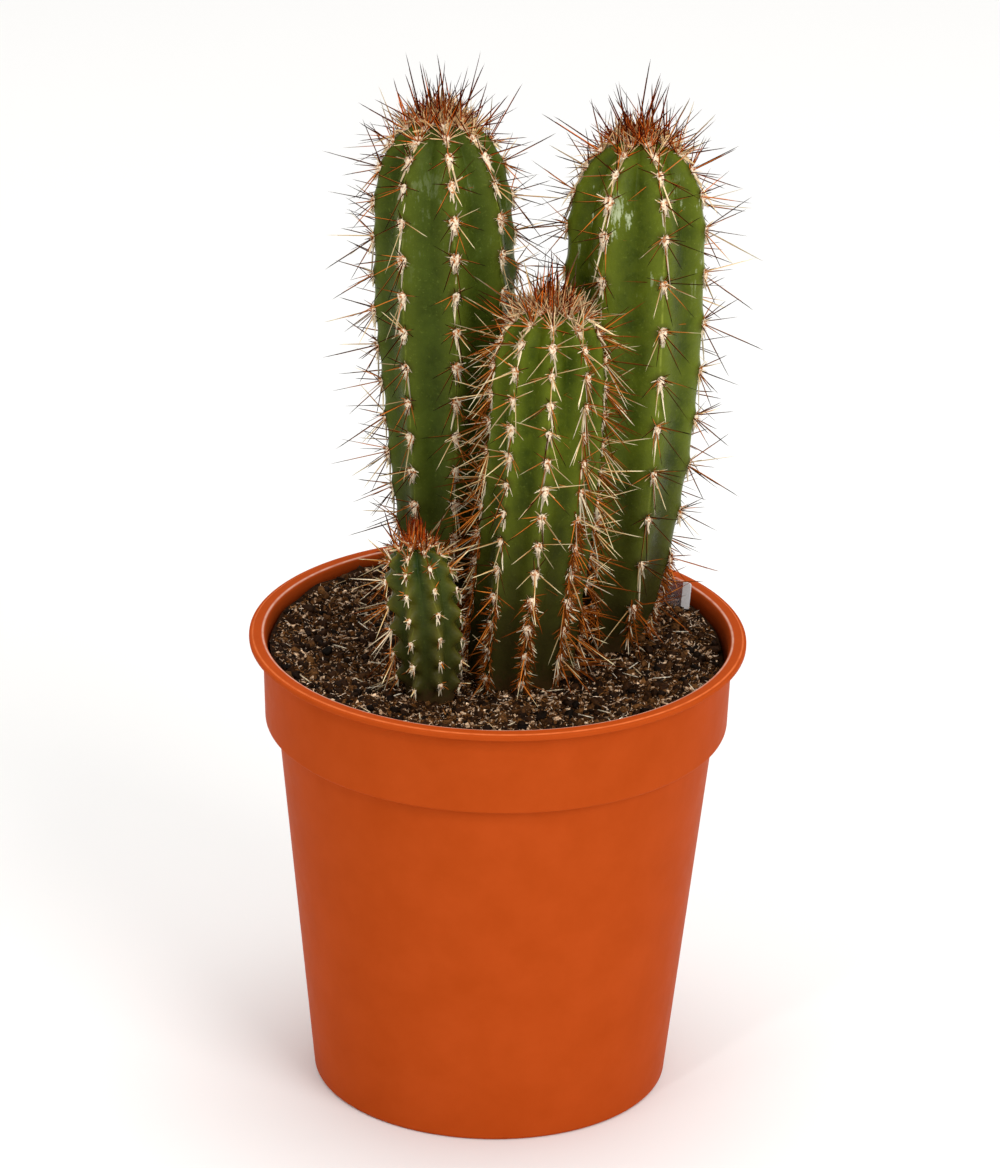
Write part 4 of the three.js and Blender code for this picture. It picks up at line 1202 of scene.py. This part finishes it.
class PotSettings(bpy.types.PropertyGroup):
    """The nursery pot."""

    wall: length_setting("Wall", "Thickness of the pot's wall", POT_WALL)
    rounding: length_setting("Lip rounding", "Rounding of the lip's outer edges", 0.42)
    sides: count_setting("Sides", "Facets round the pot", 192, 48)
    roughness: bpy.props.FloatProperty(
        name="Roughness",
        description="How dull the plastic is",
        default=0.42,
        min=0.0,
        max=1.0,
        subtype="FACTOR",
    )
    colour: colour_setting("Colour", "The plastic's main colour", "B54918")
    shade: colour_setting("Shade", "The darker of its two pigment tones", "AD4413")


class SoilSettings(bpy.types.PropertyGroup):
    """The soil and what lies on it."""

    clod_height: length_setting("Clod height", "How far the clods stand up", 2.4)
    lumps: amount_setting("Lumps", "Lumps on a square metre", 0.22e6)
    crumbs: amount_setting("Crumbs", "Crumbs on a square metre", 1.58e6)
    fibres: amount_setting("Fibres", "Fibres on a square metre", 1.25e6)
    fallen: amount_setting("Fallen spines", "Fallen spines on a square metre", 0.006e6)
    seed: count_setting("Seed", "Another lie of the crumbs", 11, 0)
    colour: colour_setting("Colour", "The peat's colour", "38210F")
    # The peat's shade colour is painted shade, laid in the hollows of its clods.
    shade: colour_setting("Shade", "The peat's colour in its hollows", "0E0804")


class StemSettings(bpy.types.PropertyGroup):
    """The stems' skin."""

    unevenness: length_setting("Unevenness", "How far the skin swells and sinks at random", 0.5)
    swell_reach: length_setting("Swell reach", "How far each areole's swelling reaches", 2.2)
    dark_green: colour_setting("Dark green", "The skin of the left and the small stem", "475419")
    bright_green: colour_setting("Bright green", "The skin of the right and the centre stem", "525D11")


class SpineSettings(bpy.types.PropertyGroup):
    """Spines and areole wool."""

    stoutness: amount_setting("Stoutness", "The spines' thickness, as a share of the real one", 1.0)
    bow: amount_setting("Bow", "How far a spine bows, in its root's radii", 2.2)
    sides: count_setting("Sides", "Facets round a spine", 5, 3, 8)
    pad_width: length_setting("Pad width", "Width of an areole's pad of wool", 2.8)
    pad_length: length_setting("Pad length", "Length of an areole's pad along the rib", 3.4)
    shaft: colour_setting("Shaft", "A grown spine's shaft", "48230C")
    young_shaft: colour_setting("Young shaft", "A young spine's shaft", "561808")
    old_shaft: colour_setting("Old shaft", "The shaft of a spine in the brush near the soil", "86420E")
    wool: colour_setting("Wool", "The wool's colour", "FFEED0")


class LabelSettings(bpy.types.PropertyGroup):
    """The blank plant label."""

    corner: length_setting("Corner", "Rounding of the label's corners", 0.7)
    bevel: length_setting("Bevel", "Bevel along its cut edges", 0.15)
    band: length_setting("Band", "Width of the frosted bands along its sides", 2.0)
    colour: colour_setting("Colour", "The clear plastic's colour", "E6DADC")
    frost: colour_setting("Frost", "The frosted bands' colour", "E9E6E6")


class StageSettings(bpy.types.PropertyGroup):
    """The floor, the lights and the sky."""

    floor_radius: length_setting("Floor radius", "How far the floor reaches", 6000)
    key: amount_setting("Key light", "Power in watts", 16.0)
    fill: amount_setting("Fill light", "Power in watts", 2.5)
    top: amount_setting("Top light", "Power in watts", 19.0)
    glint: amount_setting("Glint light", "Power in watts", 3.0)
    sky: amount_setting("Sky", "Strength of the pale sky", 0.58)
    floor: colour_setting("Floor colour", "The paper's colour", "F7F6F4")


# ------------------------------------------------------------------ pieces


class MakeStage(bpy.types.Operator):
    """Lay the floor, hang the lights and set up the camera"""

    bl_idname = "cactus.make_stage"
    bl_label = "Stage"

    def execute(self, context):
        sizes = context.scene.cactus_stage
        ring = np.linspace(0, 2 * math.pi, 96, endpoint=False)
        rim = [(sizes.floor_radius * math.cos(a), sizes.floor_radius * math.sin(a), 0) for a in ring]
        floor = new_object("floor", rim, [range(len(rim))])
        floor.data.materials.append(matt_sweep(sizes.floor))
        world = bpy.data.worlds.new("Pale sky")
        world.use_nodes = True
        world.node_tree.nodes.clear()
        sky = add(world.node_tree, "ShaderNodeBackground", linear("FFFFFF"), sizes.sky)
        add(world.node_tree, "ShaderNodeOutputWorld", sky, out=None)
        context.scene.world = world
        # Name, place in metres, width and power.
        lights = (
            ("key_light", (0.95, -1.3, 1.1), 1.0, sizes.key),
            ("fill_light", (-1.3, -1.1, 0.9), 0.6, sizes.fill),
            ("top_light", (0.1, 0.3, 2.0), 1.8, sizes.top),
            ("glint_light", (-0.55, -1.15, 1.5), 0.12, sizes.glint),
        )
        for name, place, width, power in lights:
            lamp = bpy.data.lights.new(name, "AREA")
            lamp.shape = "DISK"
            lamp.size = width
            lamp.energy = power
            held = bpy.data.objects.new(name, lamp)
            aim = (Vector(place) - Vector((0, 0, LIGHTS_AIM_Z * MM))).to_track_quat("Z", "Y")
            held.matrix_world = Matrix.Translation(place) @ aim.to_matrix().to_4x4()
            context.scene.collection.objects.link(held)
        self.set_camera(context.scene)
        context.scene.view_settings.view_transform = "Standard"
        return {"FINISHED"}

    def set_camera(self, scene):
        """Stands the camera where the photograph was taken from, with its lens and its roll."""
        lens = bpy.data.cameras.new("camera")
        lens.sensor_width = SENSOR_WIDTH
        lens.lens = FOCUS_PIXELS * SENSOR_WIDTH / PICTURE_HEIGHT_PIXELS
        lens.clip_start = 0.05
        lens.clip_end = 50
        tilt, roll = math.radians(CAMERA_ELEVATION), math.radians(CAMERA_ROLL)
        x, y, z = CAMERA_TARGET
        y -= CAMERA_DISTANCE * math.cos(tilt)
        z += CAMERA_DISTANCE * math.sin(tilt)
        camera = bpy.data.objects.new("camera", lens)
        turned_up = Matrix.Rotation(math.pi / 2 - tilt, 4, "X") @ Matrix.Rotation(roll, 4, "Z")
        camera.matrix_world = Matrix.Translation((x * MM, y * MM, z * MM)) @ turned_up
        scene.collection.objects.link(camera)
        scene.camera = camera


class MakePot(bpy.types.Operator):
    """Turn the pot's shell and cut its drain holes"""

    bl_idname = "cactus.make_pot"
    bl_label = "Pot"

    def execute(self, context):
        sizes = context.scene.cactus_pot
        wall, rounding = sizes.wall / MM, sizes.rounding / MM
        step = COLLAR_FOOT_Z + wall
        top = POT_HEIGHT
        # Radius, height and rounding of each corner, from under the floor, up outside and down inside.
        shell = [
            (0, FOOT_RING_HEIGHT, 0),
            (FOOT_RING_INNER_RADIUS - 1, FOOT_RING_HEIGHT, 0.5),
            (FOOT_RING_INNER_RADIUS, 0, 0.5),
            (BODY_FOOT_RADIUS, 0, 1.1),
            (BODY_TOP_RADIUS, COLLAR_FOOT_Z, 0.5),
            (COLLAR_FOOT_RADIUS, COLLAR_FOOT_Z, 0.9),
            (COLLAR_TOP_RADIUS, top - LIP_THICKNESS, 0.35),
            (LIP_RADIUS, top - LIP_THICKNESS, rounding),
            (LIP_RADIUS, top - LIP_STEP, rounding),
            (LIP_RADIUS - 0.75, top - LIP_STEP, 0.1),
            (LIP_RADIUS - 0.95, top, 0.2),
            (LIP_INNER_RADIUS - 0.5, top, 0.75),
            (COLLAR_TOP_RADIUS - wall, top - 2.2, 0.8),
            (COLLAR_FOOT_RADIUS + COLLAR_SLOPE * wall - wall, step, 0.5),
            (BODY_TOP_RADIUS - wall, step, 0.5),
            (BODY_FOOT_RADIUS + BODY_SLOPE * FLOOR_TOP - wall, FLOOR_TOP, 1.0),
            (0, FLOOR_TOP, 0),
        ]
        pot = turned("pot_shell", rounded_profile(shell), sizes.sides)
        cutters = bmesh.new()
        drill = {"radius1": DRAIN_HOLE_RADIUS * MM, "radius2": DRAIN_HOLE_RADIUS * MM, "depth": 8 * MM}
        for i in range(DRAIN_HOLES):
            angle = 2 * math.pi * i / DRAIN_HOLES
            x, y = DRAIN_CIRCLE_RADIUS * math.cos(angle), DRAIN_CIRCLE_RADIUS * math.sin(angle)
            place = Matrix.Translation((x * MM, y * MM, 3 * MM))
            bmesh.ops.create_cone(cutters, cap_ends=True, segments=40, matrix=place, **drill)
        pegs = new_object("drain_pegs", [])
        cutters.to_mesh(pegs.data)
        cutters.free()
        cut = pot.modifiers.new("Drain holes", "BOOLEAN")
        cut.object = pegs
        cut.solver = "EXACT"
        applied(pot)
        bpy.data.objects.remove(pegs)
        plastic = moulded_plastic(sizes.colour, sizes.shade, sizes.roughness)
        finished(pot, plastic, "pot", sharp=40)
        return {"FINISHED"}


class MakeSoil(bpy.types.Operator):
    """Fill the pot with soil and strew crumbs and fibres over it"""

    bl_idname = "cactus.make_soil"
    bl_label = "Soil"

    def execute(self, context):
        sizes = context.scene.cactus_soil
        bed = self.bed(sizes)
        for k, kind in enumerate(STREWN):
            strewn = bed.copy()
            strewn.data = bed.data.copy()
            strewn.name = kind.piece
            context.scene.collection.objects.link(strewn)
            applied(strewn, scatter_tree(kind.rounds), {
                "Density": getattr(sizes, kind.setting),
                "Smallest": kind.smallest * MM,
                "Largest": kind.largest * MM,
                "Stretch": kind.stretch,
                "Flatness": kind.flatness,
                "Steepest": kind.steepest,
                "Lift": kind.lift * MM,
                "Seed": sizes.seed + k,
                "Crumb": peat_crumbs(kind.material, kind.tones, kind.pale_from),
            })
            finished(strewn, None, sharp=None if kind.rounds else 30)
        finished(bed, moist_peat(sizes.colour, sizes.shade), "soil", sharp=60)
        return {"FINISHED"}

    def bed(self, sizes):
        """The fill as one closed lump: the pot's inside form, with a cloddy top round the stems."""
        foot = FLOOR_TOP + SOIL_GAP
        step = COLLAR_FOOT_Z + POT_WALL + SOIL_GAP
        edge = COLLAR_TOP_RADIUS - POT_WALL - 2 * SOIL_GAP
        side = [
            (0, foot, 0),
            (BODY_FOOT_RADIUS + BODY_SLOPE * foot - POT_WALL - SOIL_GAP, foot, 1.0),
            (BODY_TOP_RADIUS - POT_WALL - SOIL_GAP, step, 0.4),
            (COLLAR_FOOT_RADIUS - POT_WALL - SOIL_GAP, step, 0.6),
            (edge, POT_HEIGHT - SOIL_WALL_DROP, 0),
        ]
        rows = rounded_profile(side)
        radii = np.linspace(edge - 0.1, 0.7, SOIL_RINGS)
        rows += [(radius, POT_HEIGHT) for radius in radii] + [(0, POT_HEIGHT)]
        bed = turned("soil_bed", rows, SOIL_SIDES)
        count = len(bed.data.vertices)
        places = np.empty(count * 3)
        bed.data.vertices.foreach_get("co", places)
        places = places.reshape(-1, 3) / MM
        x, y, z = places.T
        top = z > POT_HEIGHT - 1
        z[top] = soil_top(x, y)[top]
        loose = np.where(top & (np.hypot(x, y) < edge - BARE_WALL_GAP), 1.0, 0.0)
        for stem in STEMS:
            away = np.hypot(x - smooth_at(stem.axis, 1, z), y - smooth_at(stem.axis, 2, z))
            inside = away < crest_radius(stem, z) * FOOT_SHARE
            z[top & inside] = stem.axis[0][0] + 0.5
            loose[inside] = 0.0
        bed.data.vertices.foreach_set("co", (places * MM).ravel())
        bed.data.attributes.new("loose", "FLOAT", "POINT").data.foreach_set("value", loose)
        self.raise_clods(bed, loose, sizes.clod_height)
        return bed

    def raise_clods(self, bed, loose, height):
        """Lifts and sinks the loose top in clods about 6 mm wide, and in finer ones between them."""
        group = bed.vertex_groups.new(name="loose")
        for i in np.flatnonzero(loose):
            group.add([int(i)], 1.0, "REPLACE")
        for width, share in CLODS:
            texture = bpy.data.textures.new("Clods", "CLOUDS")
            texture.noise_scale = width * MM
            texture.noise_depth = 2
            clods = bed.modifiers.new("Clods", "DISPLACE")
            clods.texture = texture
            clods.texture_coords = "LOCAL"
            clods.direction = "Z"
            clods.strength = height * share
            clods.vertex_group = "loose"
        applied(bed)


class MakeStems(bpy.types.Operator):
    """Grow the skin of the four ribbed stems"""

    bl_idname = "cactus.make_stems"
    bl_label = "Stems"

    def execute(self, context):
        sizes = context.scene.cactus_stems
        tree = rib_tree()
        for stem in STEMS:
            dark = stem.slot == "stem_dark"
            green = sizes.dark_green if dark else sizes.bright_green
            skin = cactus_skin("Cactus skin, " + stem.name, green, stem)
            column = self.column(stem)
            applied(column, tree, {
                "Ribs": stem.ribs,
                "Furrow depth": stem.groove,
                "Crown pleat depth": stem.crown_groove,
                "Areole swell": stem.swell * MM,
                "Areole swell reach": sizes.swell_reach,
                "Crest sag": stem.sag * MM,
                "Skin unevenness": sizes.unevenness,
                "Skin": skin,
            })
            finished(column, None, stem.node)
        return {"FINISHED"}

    def column(self, stem):
        """The bare round column as a closed mesh, whose points know where on the plant they are."""
        foot, dome, apex = stem.girth[0][0], stem.dome, stem.apex
        quarter = np.linspace(0, math.pi / 2, CROWN_ROWS + 2)[1:-1]
        crown = dome + (apex - dome) * np.sin(quarter) ** (2 / DOME_SHARPNESS)
        z = np.concatenate((np.arange(foot, dome, ROW_HEIGHT), [dome], crown))
        radius = crest_radius(stem, z)
        arcs, _, heights = crest_line(stem)
        arc = np.interp(z, heights[::-1], arcs[::-1])
        columns = stem.ribs * COLUMNS_PER_RIB
        turns = np.arange(columns) * 2 * math.pi / columns
        rib = np.round(turns * stem.ribs / (2 * math.pi)).astype(int) % stem.ribs
        # How far each height is from the nearest areole, on even ribs and on odd ones.
        steps = []
        for parity in (0, 1):
            spots = np.array(areole_arcs(stem, parity, arcs[-1]))
            steps.append(np.abs(arc[:, None] - spots[None, :]).min(axis=1)[:, None])
        angle = rib_angle(stem, 0, z)[:, None] + turns[None, :]
        dimple = APEX_DIMPLE * np.exp(-((radius / DIMPLE_WIDTH) ** 2)) * (z > dome)
        middle = np.stack([smooth_at(stem.axis, 1, z), smooth_at(stem.axis, 2, z), z - dimple], axis=1)
        shape = (len(z), columns)
        # Each attribute's values by height and column, and its value at the two poles.
        spread = {
            "turn": (turns, 0),
            "girth": (radius[:, None] * MM, 0),
            "step": (np.where(rib[None, :] % 2 == 0, *steps) * MM, 1),
            "crown": (self.smoothstep(z, dome - PLEAT_REACH, apex)[:, None], 1),
            "fade": (np.clip(radius / FADE_RADIUS, 0, 1)[:, None], 0),
        }
        attributes = {}
        for name, (values, pole) in spread.items():
            attributes[name] = np.append(np.broadcast_to(values, shape).ravel(), (pole, pole))
        outward = np.stack((np.cos(angle), np.sin(angle), np.zeros(shape)), axis=2).reshape(-1, 3)
        attributes["outward"] = np.vstack((outward, np.zeros((2, 3))))
        ends = (middle[0] * MM, (middle[-1] - (0, 0, 0.02)) * MM)
        attributes["middle"] = np.vstack((np.repeat(middle * MM, columns, axis=0), ends))
        faces = closed_faces(*shape)
        return new_object(stem.name + "_skin", attributes["middle"], faces, attributes)

    def smoothstep(self, z, low, high):
        """0 under low, 1 over high, and a smooth rise between."""
        t = np.clip((z - low) / (high - low), 0, 1)
        return t * t * (3 - 2 * t)


class MakeSpines(bpy.types.Operator):
    """Set wool and spines in every areole of the four stems"""

    bl_idname = "cactus.make_spines"
    bl_label = "Spines and wool"

    def execute(self, context):
        sizes = context.scene.cactus_spines
        horn = spine_horn(sizes.shaft, sizes.young_shaft, sizes.old_shaft)
        wool = areole_wool(sizes.wool)
        grow, pad = spine_tree(), wool_tree()
        for number, stem in enumerate(STEMS):
            found = areoles(stem)
            self.set_wool(stem, number, found, pad, sizes, wool)
            rows = stem_spines(stem, number, found)
            grown = {name: np.array(values) for name, values in zip(GROWN_FIELDS, zip(*rows))}
            # A share of the grown spines, and fewer of the oldest, have bleached tips.
            grown["light_tip"] = grown["tone"] * 7.3 % 1.0 < stem.light_tips * (1 - 0.8 * grown["age"])
            for name in ("root", "length", "radius"):
                grown[name] = grown[name] * MM
            spines = new_object(stem.name + "_spines", grown.pop("root"), (), grown)
            applied(spines, grow, {
                "Stoutness": sizes.stoutness,
                "Bow in radii": sizes.bow,
                "Sides": sizes.sides,
                "Seed": 3 + number,
                "Spine": horn,
            })
            finished(spines)
        return {"FINISHED"}

    def set_wool(self, stem, number, found, tree, sizes, material):
        """The woolly pads of a stem, smaller where it is young, set on its swellings."""
        places, scales = [], []
        for areole in found:
            lift = stem.swell * 0.8 - 0.1
            places.append((areole.place + areole.facing * lift - areole.climb * 0.2) * MM)
            draw = chance(number + 1, areole.rib + 1, areole.row + 1, 9)
            scales.append(stem.pad * (0.8 + 0.4 * draw) * (0.85 if areole.arc < CROWN_REACH else 1.0))
        wool = new_object(stem.name + "_wool", places, (), {
            "facing": [areole.facing for areole in found],
            "climb": [areole.climb for areole in found],
            "size": scales,
        })
        applied(wool, tree, {
            "Pad width": sizes.pad_width,
            "Pad length": sizes.pad_length,
            "Seed": 5 + number,
            "Wool": material,
        })
        finished(wool)


class MakeLabel(bpy.types.Operator):
    """Cut the blank plant label and push it in beside the right stem"""

    bl_idname = "cactus.make_label"
    bl_label = "Plant label"

    def execute(self, context):
        sizes = context.scene.cactus_label
        half, corner = LABEL_WIDTH / 2, sizes.corner / MM
        shoulder = LABEL_POINT_LENGTH - LABEL_LENGTH
        blunt, tip = LABEL_POINT_WIDTH / 2, LABEL_POINT_WIDTH - LABEL_LENGTH
        outline = [(-half, shoulder), (-blunt, tip), (blunt, tip), (half, shoulder)]
        for side, start in ((1, 0), (-1, math.pi / 2)):
            for k in range(7):
                angle = start + math.pi / 2 * k / 6
                u = side * (half - corner) + corner * math.cos(angle)
                outline.append((u, corner * (math.sin(angle) - 1)))
        count, thick = len(outline), LABEL_THICKNESS / 2
        points = [(u * MM, v * MM, w * MM) for v in (-thick, thick) for u, w in outline]
        faces = [range(count), range(2 * count - 1, count - 1, -1)]
        faces += [(count + k, count + (k + 1) % count, (k + 1) % count, k) for k in range(count)]
        stake = new_object("label_stake", points, faces)
        self.mark_bands(stake, half * MM - sizes.band)
        bevel = stake.modifiers.new("Cut edges", "BEVEL")
        bevel.width = sizes.bevel
        bevel.segments = 2
        bevel.limit_method = "ANGLE"
        bevel.angle_limit = math.radians(50)
        applied(stake)
        turn = Matrix.Rotation(math.radians(LABEL_TURN), 4, "Z")
        lean = Matrix.Rotation(math.radians(LABEL_LEAN), 4, "X")
        top = Vector((*LABEL_CENTRE, LABEL_TOP_Z)) * MM
        stake.data.transform(Matrix.Translation(top) @ turn @ lean)
        for plastic in (clear_polystyrene(sizes.colour), frosted_polystyrene(sizes.frost)):
            stake.data.materials.append(plastic)
        finished(stake, None, "plant_label", sharp=35)
        return {"FINISHED"}

    def mark_bands(self, stake, start):
        """Cuts the flat faces where the side bands start, and marks the bands for the frosted plastic."""
        sheet = bmesh.new()
        sheet.from_mesh(stake.data)
        for side in (-1, 1):
            plane = {"plane_co": (side * start, 0, 0), "plane_no": (1, 0, 0)}
            bmesh.ops.bisect_plane(sheet, geom=sheet.verts[:] + sheet.edges[:] + sheet.faces[:], **plane)
        for face in sheet.faces:
            face.material_index = int(abs(face.calc_center_median().x) > start)
        sheet.to_mesh(stake.data)
        sheet.free()


PIECES = (MakeStage, MakePot, MakeSoil, MakeStems, MakeSpines, MakeLabel)
SETTINGS = {
    "cactus_stage": StageSettings,
    "cactus_pot": PotSettings,
    "cactus_soil": SoilSettings,
    "cactus_stems": StemSettings,
    "cactus_spines": SpineSettings,
    "cactus_label": LabelSettings,
}


class CactusPanel(bpy.types.Panel):
    """The cactus' sizes, colours and pieces, in the 3D view's sidebar."""

    bl_idname = "VIEW3D_PT_cactus"
    bl_label = "Potted Cactus"
    bl_space_type = "VIEW_3D"
    bl_region_type = "UI"
    bl_category = "Cactus"

    def draw(self, context):
        for piece, name in zip(PIECES, SETTINGS):
            box = self.layout.box()
            box.operator(piece.bl_idname)
            group = getattr(context.scene, name)
            for setting in SETTINGS[name].__annotations__:
                box.prop(group, setting)


def register():
    """Registers the settings, the operators and the panel."""
    for name, group in SETTINGS.items():
        bpy.utils.register_class(group)
        setattr(bpy.types.Scene, name, bpy.props.PointerProperty(type=group))
    for made in (*PIECES, CactusPanel):
        bpy.utils.register_class(made)


def unregister():
    """Takes them all out again."""
    for made in (CactusPanel, *reversed(PIECES)):
        bpy.utils.unregister_class(made)
    for name, group in SETTINGS.items():
        delattr(bpy.types.Scene, name)
        bpy.utils.unregister_class(group)


def main():
    """Builds every piece."""
    register()
    for piece in PIECES:
        getattr(bpy.ops.cactus, piece.bl_idname.split(".")[1])()


if __name__ == "__main__":
    main()
